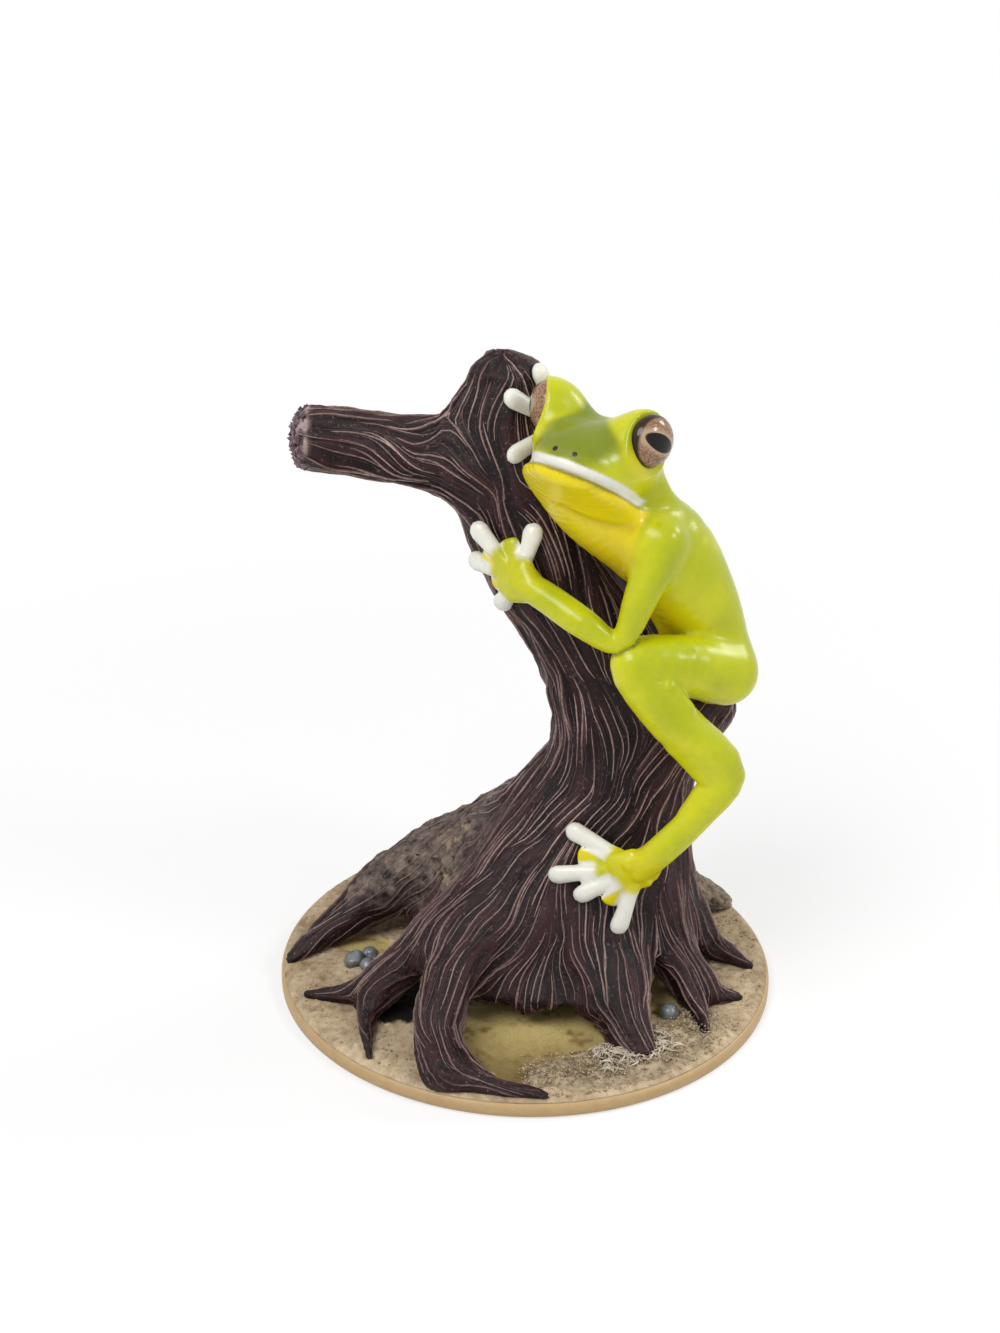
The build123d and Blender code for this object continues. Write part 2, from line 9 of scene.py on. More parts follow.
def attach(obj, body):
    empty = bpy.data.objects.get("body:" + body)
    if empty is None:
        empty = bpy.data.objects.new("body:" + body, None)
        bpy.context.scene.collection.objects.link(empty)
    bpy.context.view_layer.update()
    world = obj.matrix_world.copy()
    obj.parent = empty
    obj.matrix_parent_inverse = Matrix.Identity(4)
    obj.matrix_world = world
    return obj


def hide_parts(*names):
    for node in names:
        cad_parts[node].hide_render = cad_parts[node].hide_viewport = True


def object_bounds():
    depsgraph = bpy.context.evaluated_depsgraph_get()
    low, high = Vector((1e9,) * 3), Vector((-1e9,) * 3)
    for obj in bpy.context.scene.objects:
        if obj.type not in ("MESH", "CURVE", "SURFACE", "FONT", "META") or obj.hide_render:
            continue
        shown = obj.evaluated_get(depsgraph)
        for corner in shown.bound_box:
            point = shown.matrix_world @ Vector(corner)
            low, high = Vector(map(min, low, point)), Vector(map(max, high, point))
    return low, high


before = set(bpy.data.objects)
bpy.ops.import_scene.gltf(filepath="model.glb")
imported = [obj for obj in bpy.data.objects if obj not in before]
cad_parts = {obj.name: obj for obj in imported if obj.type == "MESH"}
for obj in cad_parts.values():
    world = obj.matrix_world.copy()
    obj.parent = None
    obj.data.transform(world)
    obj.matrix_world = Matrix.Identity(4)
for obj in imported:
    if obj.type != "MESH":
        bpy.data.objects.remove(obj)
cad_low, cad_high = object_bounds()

# Camera: it stands in front of the figurine, a little above the branch, and looks down at it.
# The middle of the base's underside is held at one pixel of the 1000 by 1333 image.
IMAGE_WIDE, IMAGE_TALL = 1000, 1333
FOCAL_PIXELS = 1900.0
BASE_PIXEL = (531.4, 966.3)
VIEW_DISTANCE = 0.3983
VIEW_ELEVATION = math.radians(33.14)
VIEW_ROLL = math.radians(1.18)

look = np.array([0.0, math.cos(VIEW_ELEVATION), -math.sin(VIEW_ELEVATION)])
stand = -VIEW_DISTANCE * look
across = np.array([1.0, 0.0, 0.0])
pitch = math.atan((BASE_PIXEL[1] - IMAGE_TALL / 2) / FOCAL_PIXELS)
yaw = math.atan((BASE_PIXEL[0] - IMAGE_WIDE / 2) / FOCAL_PIXELS * math.cos(pitch))
look = look * math.cos(pitch) + np.cross(across, look) * math.sin(pitch)
upright = np.cross(across, look)
look = look * math.cos(yaw) - across * math.sin(yaw)
across = np.cross(look, upright)
turned_across = across * math.cos(VIEW_ROLL) + upright * math.sin(VIEW_ROLL)
turned_upright = upright * math.cos(VIEW_ROLL) - across * math.sin(VIEW_ROLL)

lens = bpy.data.cameras.new("studio_camera")
lens.lens = FOCAL_PIXELS / IMAGE_TALL * lens.sensor_width
lens.clip_start, lens.clip_end = 0.01, 50.0
camera = bpy.data.objects.new("studio_camera", lens)
placing = np.eye(4)
placing[:3, :] = np.stack([turned_across, turned_upright, -look, stand], 1)
camera.matrix_world = Matrix(placing.tolist())
bpy.context.scene.collection.objects.link(camera)
bpy.context.scene.camera = camera
bpy.context.scene.view_settings.view_transform = "Standard"

# Studio: a plain pale floor and soft lamps, the strongest from the upper left in front.
# The surround is white to the camera and in reflections, and a soft fill for the rest.
FILL_LEVEL = 0.5
FLOOR_HALF = 6.0
FLOOR_DROP = 0.0002
FLOOR_GREY = 0.86
FLOOR_WHITE_SHARE = 0.6
FLOOR_FADE = (0.09, 0.26)
# Each lamp: its place, the width of its disk and its power, in metres and watts.
LAMPS = {
    "lamp_key": ((-0.30, -0.36, 0.62), 0.42, 3.5),
    "lamp_side": ((0.46, -0.20, 0.46), 0.14, 1.1),
    "lamp_back": ((0.58, 0.26, 0.48), 0.22, 1.5),
}
LAMP_TARGET = (0.0, 0.0, 0.06)


def node(tree, kind, inputs=None, **settings):
    """A new node with its settings, and its inputs set or linked by name or number."""
    made = tree.nodes.new(kind)
    for setting, value in settings.items():
        setattr(made, setting, value)
    for socket, value in (inputs or {}).items():
        if isinstance(value, bpy.types.NodeSocket):
            tree.links.new(value, made.inputs[socket])
        else:
            made.inputs[socket].default_value = value
    return made


def worked(tree, operation, *values, **settings):
    """Result of a math node of that kind, from numbers or sockets."""
    return node(tree, "ShaderNodeMath", dict(enumerate(values)), operation=operation, **settings).outputs[0]


def ranged(tree, value, start, end, low=0.0, high=1.0):
    """Result of a node that carries a value from one range to another."""
    return node(tree, "ShaderNodeMapRange", dict(enumerate((value, start, end, low, high)))).outputs[0]


def seen_directly(tree):
    """1 for rays from the camera, and for reflected or refracted ones, and 0 for light on other things."""
    path = node(tree, "ShaderNodeLightPath")
    mirrored = worked(tree, "MAXIMUM", path.outputs["Is Glossy Ray"], path.outputs["Is Transmission Ray"])
    return worked(tree, "MAXIMUM", path.outputs["Is Camera Ray"], mirrored)


world = bpy.data.worlds.new("studio_surround")
bpy.context.scene.world = world
world.use_nodes = True
tree = world.node_tree
tree.nodes.clear()
fill = node(tree, "ShaderNodeBackground", {"Color": (1, 1, 1, 1), "Strength": FILL_LEVEL})
white = node(tree, "ShaderNodeBackground", {"Color": (1, 1, 1, 1), "Strength": 1.0})
mixed = node(tree, "ShaderNodeMixShader", {0: seen_directly(tree), 1: fill.outputs[0], 2: white.outputs[0]})
node(tree, "ShaderNodeOutputWorld", {"Surface": mixed.outputs[0]})

for lamp_name, (place, size, power) in LAMPS.items():
    lamp = bpy.data.lights.new(lamp_name, "AREA")
    lamp.shape, lamp.size, lamp.energy = "DISK", size, power
    holder = bpy.data.objects.new(lamp_name, lamp)
    holder.location = place
    holder.rotation_euler = (Vector(place) - Vector(LAMP_TARGET)).to_track_quat("Z", "Y").to_euler()
    bpy.context.scene.collection.objects.link(holder)

floor_mesh = bpy.data.meshes.new("studio_floor")
floor_corners = [(x * FLOOR_HALF, y * FLOOR_HALF, -FLOOR_DROP) for x, y in ((-1, -1), (1, -1), (1, 1), (-1, 1))]
floor_mesh.from_pydata(floor_corners, [], [(0, 1, 2, 3)])
floor = bpy.data.objects.new("studio_floor", floor_mesh)
bpy.context.scene.collection.objects.link(floor)
floor_paint = bpy.data.materials.new("floor_paint")
floor_paint.use_nodes = True
tree = floor_paint.node_tree
tree.nodes.clear()
matt = node(tree, "ShaderNodeBsdfDiffuse", {"Color": (FLOOR_GREY, FLOOR_GREY, FLOOR_GREY, 1)})
glow = node(tree, "ShaderNodeEmission", {"Color": (1, 1, 1, 1), "Strength": 1.0})
spot = node(tree, "ShaderNodeTexCoord")
away = node(tree, "ShaderNodeVectorMath", {0: spot.outputs["Object"]}, operation="LENGTH")
whiter = ranged(tree, away.outputs["Value"], *FLOOR_FADE, FLOOR_WHITE_SHARE, 1.0)
share = worked(tree, "MULTIPLY", seen_directly(tree), whiter)
mixed = node(tree, "ShaderNodeMixShader", {0: share, 1: matt.outputs[0], 2: glow.outputs[0]})
node(tree, "ShaderNodeOutputMaterial", {"Surface": mixed.outputs[0]})
floor_mesh.materials.append(floor_paint)

# Base plate: a round plate of cream resin with a rounded rim, cast flat and left with a dull sheen.
# Everything else is glued to it. Sizes are in millimetres from here on.
BASE_RADIUS = 50.0
BASE_THICKNESS = 2.8
RIM_ROUND = 1.2
FOOT_BEVEL = 0.3
FLAT_RINGS = (0.0, 20.0, 40.0)
PLATE_COLUMNS = 256
MILLIMETRE = 0.001
BOX_MARGIN = 0.02
RESIN_CREAM = (180, 152, 108)
RESIN_SHADE = (166, 136, 90)


def tone(red, green, blue):
    """Linear colour of a paint that is named by its 0 to 255 screen values."""
    screen = np.array([red, green, blue]) / 255
    return (*np.where(screen > 0.04045, ((screen + 0.055) / 1.055) ** 2.4, screen / 12.92), 1.0)


def blended(tree, share, first, second, kind="MIX"):
    """Colour between two colours, by a share."""
    inputs = {0: share, 6: first, 7: second}
    return node(tree, "ShaderNodeMix", inputs, data_type="RGBA", blend_type=kind).outputs[2]


def mottle_group():
    """Node group: soft and fine noise on Object coordinates, as a mix of two colours and as a height."""
    group = bpy.data.node_groups.new("mottle", "ShaderNodeTree")
    sockets = {"Light": "Color", "Dark": "Color", "Scale": "Float", "Contrast": "Float"}
    for name, kind in sockets.items():
        group.interface.new_socket(name, in_out="INPUT", socket_type="NodeSocket" + kind)
    group.interface.new_socket("Color", in_out="OUTPUT", socket_type="NodeSocketColor")
    group.interface.new_socket("Height", in_out="OUTPUT", socket_type="NodeSocketFloat")
    given = node(group, "NodeGroupInput")
    place = node(group, "ShaderNodeTexCoord")
    grain = node(
        group, "ShaderNodeTexNoise",
        {"Vector": place.outputs["Object"], "Scale": given.outputs["Scale"], "Detail": 5.0, "Roughness": 0.62},
    )
    centred = worked(group, "SUBTRACT", grain.outputs[0], 0.5)
    spread = worked(group, "MULTIPLY_ADD", centred, given.outputs["Contrast"], 0.5, use_clamp=True)
    blend = blended(group, spread, given.outputs["Dark"], given.outputs["Light"])
    node(group, "NodeGroupOutput", {"Color": blend, "Height": grain.outputs[0]})
    return group


MOTTLE = mottle_group()


def finish(name, roughness, coat=0.0):
    """New material with its principled shader."""
    made = bpy.data.materials.new(name)
    made.use_nodes = True
    shader = made.node_tree.nodes["Principled BSDF"]
    shader.inputs["Roughness"].default_value = roughness
    shader.inputs["Coat Weight"].default_value = coat
    shader.inputs["Coat Roughness"].default_value = 0.12
    return made, made.node_tree, shader


def mottled(tree, light, dark, scale, contrast):
    """The mottle group in a material, with its own colours and scale."""
    effect = node(tree, "ShaderNodeGroup", node_tree=MOTTLE)
    for socket, value in zip(("Light", "Dark", "Scale", "Contrast"), (light, dark, scale, contrast)):
        effect.inputs[socket].default_value = value
    return effect


def bumped(tree, shader, height, strength, distance):
    """A bump on the shader's normal from a height, with its depth in metres."""
    bump = node(tree, "ShaderNodeBump", {"Height": height, "Strength": strength, "Distance": distance})
    tree.links.new(bump.outputs["Normal"], shader.inputs["Normal"])


def cast(name, points, faces, paint, slot, nodes, values=None, normals=None):
    """Mesh piece at the origin, from points in millimetres and arrays of faces. It rides on the one body."""
    points = np.clip(
        points, np.array(cad_low) / MILLIMETRE + BOX_MARGIN, np.array(cad_high) / MILLIMETRE - BOX_MARGIN
    )
    mesh = bpy.data.meshes.new(name)
    corners = np.concatenate([block.ravel() for block in faces]).astype(np.int32)
    sides = np.concatenate([np.full(len(block), block.shape[1]) for block in faces])
    mesh.vertices.add(len(points))
    mesh.vertices.foreach_set("co", (points * MILLIMETRE).astype(np.float32).ravel())
    mesh.loops.add(len(corners))
    mesh.loops.foreach_set("vertex_index", corners)
    mesh.polygons.add(len(sides))
    mesh.polygons.foreach_set("loop_start", np.concatenate([[0], np.cumsum(sides)[:-1]]).astype(np.int32))
    mesh.polygons.foreach_set("use_smooth", np.ones(len(sides), bool))
    mesh.update(calc_edges=True)
    for value_name, array in (values or {}).items():
        kind, field = ("FLOAT_COLOR", "color") if array.shape[1] == 4 else ("FLOAT_VECTOR", "vector")
        layer = mesh.attributes.new(value_name, kind, "POINT")
        layer.data.foreach_set(field, array.astype(np.float32).ravel())
    if normals is not None:
        mesh.normals_split_custom_set_from_vertices(normals.astype(np.float32))
    mesh.materials.append(paint)
    piece = bpy.data.objects.new(name, mesh)
    bpy.context.scene.collection.objects.link(piece)
    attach(piece, "root")
    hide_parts(*nodes)
    return piece


def closed_rows(rings):
    """Points and faces of a closed skin: rows of points joined in turn, the first and last row drawn to a point."""
    rows, columns = rings.shape[:2]
    points = np.concatenate([rings[0].mean(0)[None], rings[1:-1].reshape(-1, 3), rings[-1].mean(0)[None]])
    spot = 1 + np.arange((rows - 2) * columns).reshape(rows - 2, columns)
    after = np.roll(spot, -1, 1)
    quads = np.stack([spot[:-1], spot[1:], after[1:], after[:-1]], -1).reshape(-1, 4)
    first = np.stack([np.zeros(columns, int), spot[0], after[0]], -1)
    last = np.stack([np.full(columns, len(points) - 1), after[-1], spot[-1]], -1)
    return points, [quads, np.concatenate([first, last])]


def swept(reach, bearing, height):
    """Points at a reach and a bearing in radians from the base's axis, and at a height."""
    return np.stack(np.broadcast_arrays(reach * np.cos(bearing), reach * np.sin(bearing), height), -1)


def turned(radii, heights, columns):
    """Rows of points of a turned shape: each radius and height swept round +Z in equal steps."""
    angles = np.arange(columns) * 2 * np.pi / columns
    return swept(np.asarray(radii)[:, None], angles, np.asarray(heights)[:, None])


rim_angles = np.linspace(0, np.pi / 2, 7)
plate_radii = [
    *FLAT_RINGS, *(BASE_RADIUS - RIM_ROUND + RIM_ROUND * np.sin(rim_angles)),
    BASE_RADIUS, BASE_RADIUS - FOOT_BEVEL, *FLAT_RINGS[::-1],
]
plate_heights = [
    *(BASE_THICKNESS for _ in FLAT_RINGS), *(BASE_THICKNESS - RIM_ROUND + RIM_ROUND * np.cos(rim_angles)),
    FOOT_BEVEL, 0, *(0 for _ in FLAT_RINGS),
]
plate_skin = closed_rows(turned(plate_radii, plate_heights, PLATE_COLUMNS))
resin, tree, shader = finish("cream_resin", 0.5, 0.05)
cream = mottled(tree, tone(*RESIN_CREAM), tone(*RESIN_SHADE), 420.0, 1.6)
tree.links.new(cream.outputs["Color"], shader.inputs["Base Color"])
bumped(tree, shader, cream.outputs["Height"], 0.25, 0.0003)
cast("base_plate_cast", *plate_skin, resin, "base_resin", ["base_plate"])

# Sand bed: beige sand strewn on glue, a grain or two thick, over the plate inside its rim.
# Under the front arch the glue ran thin and the yellow resin shows.
SAND_RADIUS = 49.2
SAND_DEPTH = 0.7
GROUND = BASE_THICKNESS + SAND_DEPTH
# Patches are ovals: x and y of the middle, half width and half depth.
BARE_PATCHES = ((1.5, -29.0, 15.0, 15.5), (27.5, -14.0, 4.5, 7.0), (-34.0, 2.5, 6.0, 3.0))
SAND_PALE = (216, 195, 162)
SAND_DARK = (146, 121, 92)
BARE_YELLOW = (208, 186, 122)
BARE_STAIN = (150, 122, 66)
# Painted shade under the front arch: its tone, then the range in front of the middle over which it comes in.
BARE_FRONT_SHADE = (92, 72, 40)
BARE_FRONT = (22.0, 42.0)
# Oval of painted shade on the sand in the hollow by the left fork, laid out like the patches.
CAVITY = (-25.0, -18.0, 8.0, 8.5)
CAVITY_PAINTED_SHADE = (24, 18, 16)
GRAIN_COUNT = 3200
GRAIN_SIZES = (0.14, 0.34)
SAND_ROWS, SAND_COLUMNS = 112, 640
SAND_RELIEF = 0.16
BARE_DROP, EDGE_DROP = 0.5, 0.55
NOISE_LOW = (-56.0, -56.0, -6.0)
NOISE_SPAN = (112.0, 112.0, 142.0)
chance = np.random.default_rng(7)


def lattice(spacing, seed):
    """Random values on a grid of points that covers the figurine's box, for noise of that spacing."""
    counts = np.ceil(np.array(NOISE_SPAN) / spacing).astype(int) + 2
    values = np.random.default_rng(seed).uniform(-1, 1, counts).astype(np.float32)
    return values, np.array(NOISE_LOW), spacing


def read(grid, low, step, points):
    """Value of a grid at points, mixed from the eight grid points round each."""
    spot = (points - low) / step
    cell = np.clip(np.floor(spot).astype(int), 0, np.array(grid.shape[:3]) - 2)
    part = np.clip(spot - cell, 0, 1).astype(np.float32)
    value = 0
    for corner in product((0, 1), repeat=3):
        weight = np.prod(np.where(corner, part, 1 - part), axis=1)
        found = grid[cell[:, 0] + corner[0], cell[:, 1] + corner[1], cell[:, 2] + corner[2]]
        value = value + found * (weight if grid.ndim == 3 else weight[:, None])
    return value


def noise(spacing, seed, points):
    """Smooth noise of that spacing at points, between -1 and 1."""
    return read(*lattice(spacing, seed), points)


def ramp(value, start, end):
    """0 before start, 1 after end, and an S curve between."""
    share = np.clip((value - start) / (end - start), 0, 1)
    return share * share * (3 - 2 * share)


def mixed_tones(share, first, second):
    """Paint of points between two screen colours, by a share for each point."""
    first, second = np.array(tone(*first)), np.array(tone(*second))
    return first + np.asarray(share)[:, None] * (second - first)


def brush_on(paint, share, colour):
    """Brushes a screen colour over the paint of points, by a share for each point."""
    paint += np.clip(share, 0, 1)[:, None] * (np.array(tone(*colour)) - paint)


def chips(places, sizes, seed):
    """Small irregular eight-sided chips, each stretched and turned by chance."""
    draw = np.random.default_rng(seed)
    shape = np.array([[1, 0, 0], [0, 1, 0], [-1, 0, 0], [0, -1, 0], [0, 0, 1], [0, 0, -1]], float)
    sides = np.array([[0, 1, 4], [1, 2, 4], [2, 3, 4], [3, 0, 4], [1, 0, 5], [2, 1, 5], [3, 2, 5], [0, 3, 5]])
    corners = shape[None] * draw.uniform(0.55, 1.25, (len(places), 6, 1)) * np.asarray(sizes)[:, None, None]
    turn, tip = draw.uniform(0, 2 * np.pi, (2, len(places)))
    turn, tip = turn[:, None], tip[:, None]
    x, y, z = np.moveaxis(corners, -1, 0)
    y, z = y * np.cos(tip) - z * np.sin(tip), y * np.sin(tip) + z * np.cos(tip)
    x, y = x * np.cos(turn) - y * np.sin(turn), x * np.sin(turn) + y * np.cos(turn)
    points = (np.asarray(places)[:, None] + np.stack([x, y, z], -1)).reshape(-1, 3)
    return points, (sides[None] + 6 * np.arange(len(places))[:, None, None]).reshape(-1, 3)


def bare_share(points):
    """1 on the bare patches under the arches and 0 on the sand, with ragged edges."""
    ragged = 0.16 * noise(2.2, 11, points)
    reach = [np.hypot((points[:, 0] - x) / wide, (points[:, 1] - y) / deep) for x, y, wide, deep in BARE_PATCHES]
    return ramp(-(np.min(reach, axis=0) + ragged), -1.08, -0.92)


sand_rings = np.concatenate([np.linspace(0, SAND_RADIUS, SAND_ROWS), [SAND_RADIUS + 0.15, 40, 0]])
sand_levels = np.concatenate([np.full(SAND_ROWS, GROUND - 0.12), [BASE_THICKNESS - 0.1] * 3])
sand_points, sand_faces = closed_rows(turned(sand_rings, sand_levels, SAND_COLUMNS))
on_top = sand_points[:, 2] > BASE_THICKNESS
coarse_grain = noise(1.1, 3, sand_points)
fine_grain = noise(0.5, 4, sand_points)
bare = bare_share(sand_points)
sand_reach = np.hypot(sand_points[:, 0], sand_points[:, 1])
edge_fade = ramp(sand_reach + 0.5 * coarse_grain, SAND_RADIUS + 0.2, SAND_RADIUS - 1.0)
sand_points[:, 2] += on_top * (SAND_RELIEF * coarse_grain + SAND_RELIEF * fine_grain) * (1 - bare)
sand_points[:, 2] -= on_top * (bare * BARE_DROP + (1 - edge_fade) * EDGE_DROP)
spread = chance.uniform(0, 1, (GRAIN_COUNT, 2))
grain_reach = (SAND_RADIUS - 0.7) * np.sqrt(spread[:, 0])
grain_places = swept(grain_reach, spread[:, 1] * 2 * np.pi, GROUND - 0.1)
grain_places = grain_places[bare_share(grain_places) < 0.4]
grain_points, grain_faces = chips(grain_places, chance.uniform(*GRAIN_SIZES, len(grain_places)), 5)
patches = noise(5.0, 13, sand_points)
sand_tint = np.concatenate([0.52 + 0.35 * coarse_grain + 0.3 * fine_grain + 0.35 * patches,
                            np.repeat(chance.uniform(0, 1, len(grain_places)), 6)])
sand_paint = mixed_tones(np.clip(sand_tint, 0, 1), SAND_DARK, SAND_PALE)
bare_all = np.concatenate([bare, np.zeros(len(grain_points))])
sand_all = np.concatenate([sand_points, grain_points])
stains = 0.6 * noise(3.2, 14, sand_all) + 0.4 * noise(1.1, 15, sand_all)
bare_paint = mixed_tones(ramp(stains, 0.05, 0.6), BARE_YELLOW, BARE_STAIN)
# Painted shade: the bare resin under the front arch is brushed darker towards the front.
brush_on(bare_paint, 0.8 * ramp(-sand_all[:, 1] + 3 * stains, *BARE_FRONT), BARE_FRONT_SHADE)
sand_paint += bare_all[:, None] * (bare_paint - sand_paint)
# Painted shade: the sand in the dark hollow under the skirt is painted near black.
cavity_shade_reach = np.hypot((sand_all[:, 0] - CAVITY[0]) / CAVITY[2], (sand_all[:, 1] - CAVITY[1]) / CAVITY[3])
cavity_shade_reach += 0.15 * noise(1.6, 12, sand_all)
brush_on(sand_paint, ramp(-cavity_shade_reach, -1.05, -0.85), CAVITY_PAINTED_SHADE)


def painted(name, roughness, shine, scale, contrast, depth, low=0.7):
    """Material whose colour is the piece's painted layer, lightly mottled, with a fine bump."""
    made, tree, shader = finish(name, roughness)
    shader.inputs["Specular IOR Level"].default_value = shine
    colour = node(tree, "ShaderNodeAttribute", attribute_name="paint")
    speckle = mottled(tree, (1, 1, 1, 1), (low, low, low, 1), scale, contrast)
    tinted = blended(tree, 1.0, colour.outputs["Color"], speckle.outputs["Color"], "MULTIPLY")
    tree.links.new(tinted, shader.inputs["Base Color"])
    bumped(tree, shader, speckle.outputs["Height"], 0.6, depth)
    return made


sand_finish = painted("strewn_sand", 0.9, 0.2, 2600.0, 2.4, 0.0002)
cast("sand_bed_strewn", sand_all, [*sand_faces, grain_faces + len(sand_points)],
     sand_finish, "sand", ["sand_bed"], {"paint": sand_paint})

# Sand bank: a low ridge of coarse pale grit and scraps of dry fibre.
# It is heaped in wet glue on the sand, along the front right rim.
BANK_OUTER = 48.4
BANK_WIDTH = 13.0
BANK_HEIGHT = 1.4
BANK_BEARINGS = (-89.0, -31.0)
BANK_PALE = (202, 184, 154)
BANK_DARK = (126, 107, 82)
CRUST_PALE = (232, 219, 198)
BANK_ROWS, BANK_COLUMNS = 150, 72
CHIP_COUNT = 1700
CHIP_SIZES = (0.12, 0.34)
FIBRE_COUNT = 260
FIBRE_LENGTHS = (1.4, 3.4)
FIBRE_HALF = 0.19
FIBRE_BEARINGS = (-70.0, -47.0)
FIBRE_REACHES = (36.5, 44.5)

loop = np.linspace(0, 2 * np.pi, BANK_COLUMNS + 1)[None, :-1]
bank_bearing = np.radians(np.linspace(*BANK_BEARINGS, BANK_ROWS))[:, None]
bank_end = np.sin(np.linspace(0, np.pi, BANK_ROWS))[:, None] ** 0.35
bank_reach = BANK_OUTER - BANK_WIDTH / 2 + BANK_WIDTH / 2 * np.cos(loop) * bank_end
bank_rise = GROUND - 0.3 + np.where(np.sin(loop) > 0, BANK_HEIGHT, 0.25) * np.sin(loop) * bank_end
bank_points, bank_faces = closed_rows(swept(bank_reach, bank_bearing, bank_rise)[:, ::-1])
lumps = noise(2.6, 21, bank_points)
grit = noise(0.8, 22, bank_points)
bank_points[:, 2] += (bank_points[:, 2] > GROUND) * (0.5 * lumps + 0.35 * grit - 0.25)
chip_bearing = np.radians(chance.uniform(BANK_BEARINGS[0] - 2, BANK_BEARINGS[1] + 2, CHIP_COUNT))
chip_spot = chance.normal(0, 0.3, CHIP_COUNT).clip(-0.55, 0.55)
chip_reach = BANK_OUTER - BANK_WIDTH * (0.5 - chip_spot * 0.9)
chip_rise = GROUND - 0.2 + BANK_HEIGHT * np.sqrt(1 - (chip_spot / 0.56) ** 2) * 0.85
chip_places = swept(chip_reach, chip_bearing, chip_rise + chance.uniform(-0.2, 0.2, CHIP_COUNT))
chip_points, chip_faces = chips(chip_places, chance.uniform(*CHIP_SIZES, CHIP_COUNT), 6)


def fibres(places, lengths, thickness, seed):
    """Short bent scraps: a three-sided tube along an arc that lies near the ground, for each place."""
    draw = np.random.default_rng(seed)
    share = np.linspace(-1, 1, 7)[None]
    turn = draw.uniform(0, 2 * np.pi, (len(places), 1))
    bend = draw.uniform(-0.9, 0.9, (len(places), 1))
    arch = draw.uniform(0.0, 0.35, (len(places), 1))
    half = np.asarray(lengths)[:, None] / 2
    forth, side = half * share, half * bend * (share**2 - 0.4)
    path = np.stack([forth * np.cos(turn) - side * np.sin(turn), forth * np.sin(turn) + side * np.cos(turn),
                     half * arch * (1 - share**2)], -1) + np.asarray(places)[:, None]
    angle = np.arange(3) * 2 * np.pi / 3
    taper = thickness * np.sqrt(1.02 - share**2)
    level = np.stack([-np.sin(turn), np.cos(turn), np.zeros_like(turn)], -1)
    section = level[:, :, None] * np.cos(angle)[:, None] + np.array([0, 0, 1.0]) * np.sin(angle)[:, None]
    points = (path[:, :, None] + section * taper[..., None, None]).reshape(-1, 3)
    spot = np.arange(len(points)).reshape(len(places), 7, 3)
    after = np.roll(spot, -1, 2)
    sides = np.stack([spot[:, :-1], spot[:, 1:], after[:, 1:], after[:, :-1]], -1).reshape(-1, 4)
    caps = np.concatenate([spot[:, 0], spot[:, -1, ::-1]])
    return points, [sides, caps]


fibre_bearing = np.radians(chance.uniform(*FIBRE_BEARINGS, FIBRE_COUNT))
fibre_reach = chance.uniform(*FIBRE_REACHES, FIBRE_COUNT)
fibre_rise = GROUND + BANK_HEIGHT * np.sqrt(1 - ((fibre_reach - 41.5) / 6) ** 2)
fibre_places = swept(fibre_reach, fibre_bearing, fibre_rise)
fibre_points, fibre_faces = fibres(fibre_places, chance.uniform(*FIBRE_LENGTHS, FIBRE_COUNT), FIBRE_HALF, 8)
bank_tint = np.concatenate([0.45 + 0.4 * grit + 0.25 * lumps, np.repeat(chance.uniform(0.1, 1, CHIP_COUNT), 6)])
bank_paint = np.concatenate([
    mixed_tones(np.clip(bank_tint, 0, 1), BANK_DARK, BANK_PALE),
    mixed_tones(np.repeat(chance.uniform(0.4, 1, FIBRE_COUNT), 21), BANK_DARK, CRUST_PALE),
])
chip_start, fibre_start = len(bank_points), len(bank_points) + len(chip_points)
cast("sand_bank_heaped", np.concatenate([bank_points, chip_points, fibre_points]),
     [*bank_faces, chip_faces + chip_start, *(block + fibre_start for block in fibre_faces)],
     painted("heaped_grit", 0.92, 0.2, 2400.0, 2.6, 0.0002), "grit", ["sand_bank"],
     {"paint": bank_paint})

# Pebbles: a pearly grey bead by the small arch on the right, and three small grey stones on the left.
# They are pressed into the glue before it sets.
PEBBLE_SINK = 1.6
# Each pebble: x, y, radius and how rough it is.
PEBBLES = ((28.4, -21.0, 2.0, 0.0), (-34.6, -4.8, 2.0, 1.3), (-31.8, -6.6, 1.7, 1.3), (-32.0, -2.2, 1.5, 1.3))
STONE_PALE = (132, 137, 139)
STONE_DARK = (66, 70, 74)
pebble_points, pebble_quads, pebble_tips = [], [], []
polar = np.linspace(0, np.pi, 25)
pebble_start = 0
for x, y, radius, rough in PEBBLES:
    points, (quads, tips) = closed_rows(turned(radius * np.sin(polar), radius * np.cos(polar), 40))
    points *= 1 + rough * 0.35 * noise(1.7, 31, points + [x, y, 0])[:, None]
    pebble_points.append(points + [x, y, GROUND + radius - PEBBLE_SINK])
    pebble_quads.append(quads + pebble_start)
    pebble_tips.append(tips + pebble_start)
    pebble_start += len(points)
stone, tree, shader = finish("grey_stone", 0.35, 0.35)
grey = mottled(tree, tone(*STONE_PALE), tone(*STONE_DARK), 900.0, 2.0)
tree.links.new(grey.outputs["Color"], shader.inputs["Base Color"])
bumped(tree, shader, grey.outputs["Height"], 0.3, 0.0002)
cast("pebbles_pressed", np.concatenate(pebble_points), [np.concatenate(pebble_quads), np.concatenate(pebble_tips)],
     stone, "pebble_stone", ["pebbles"])

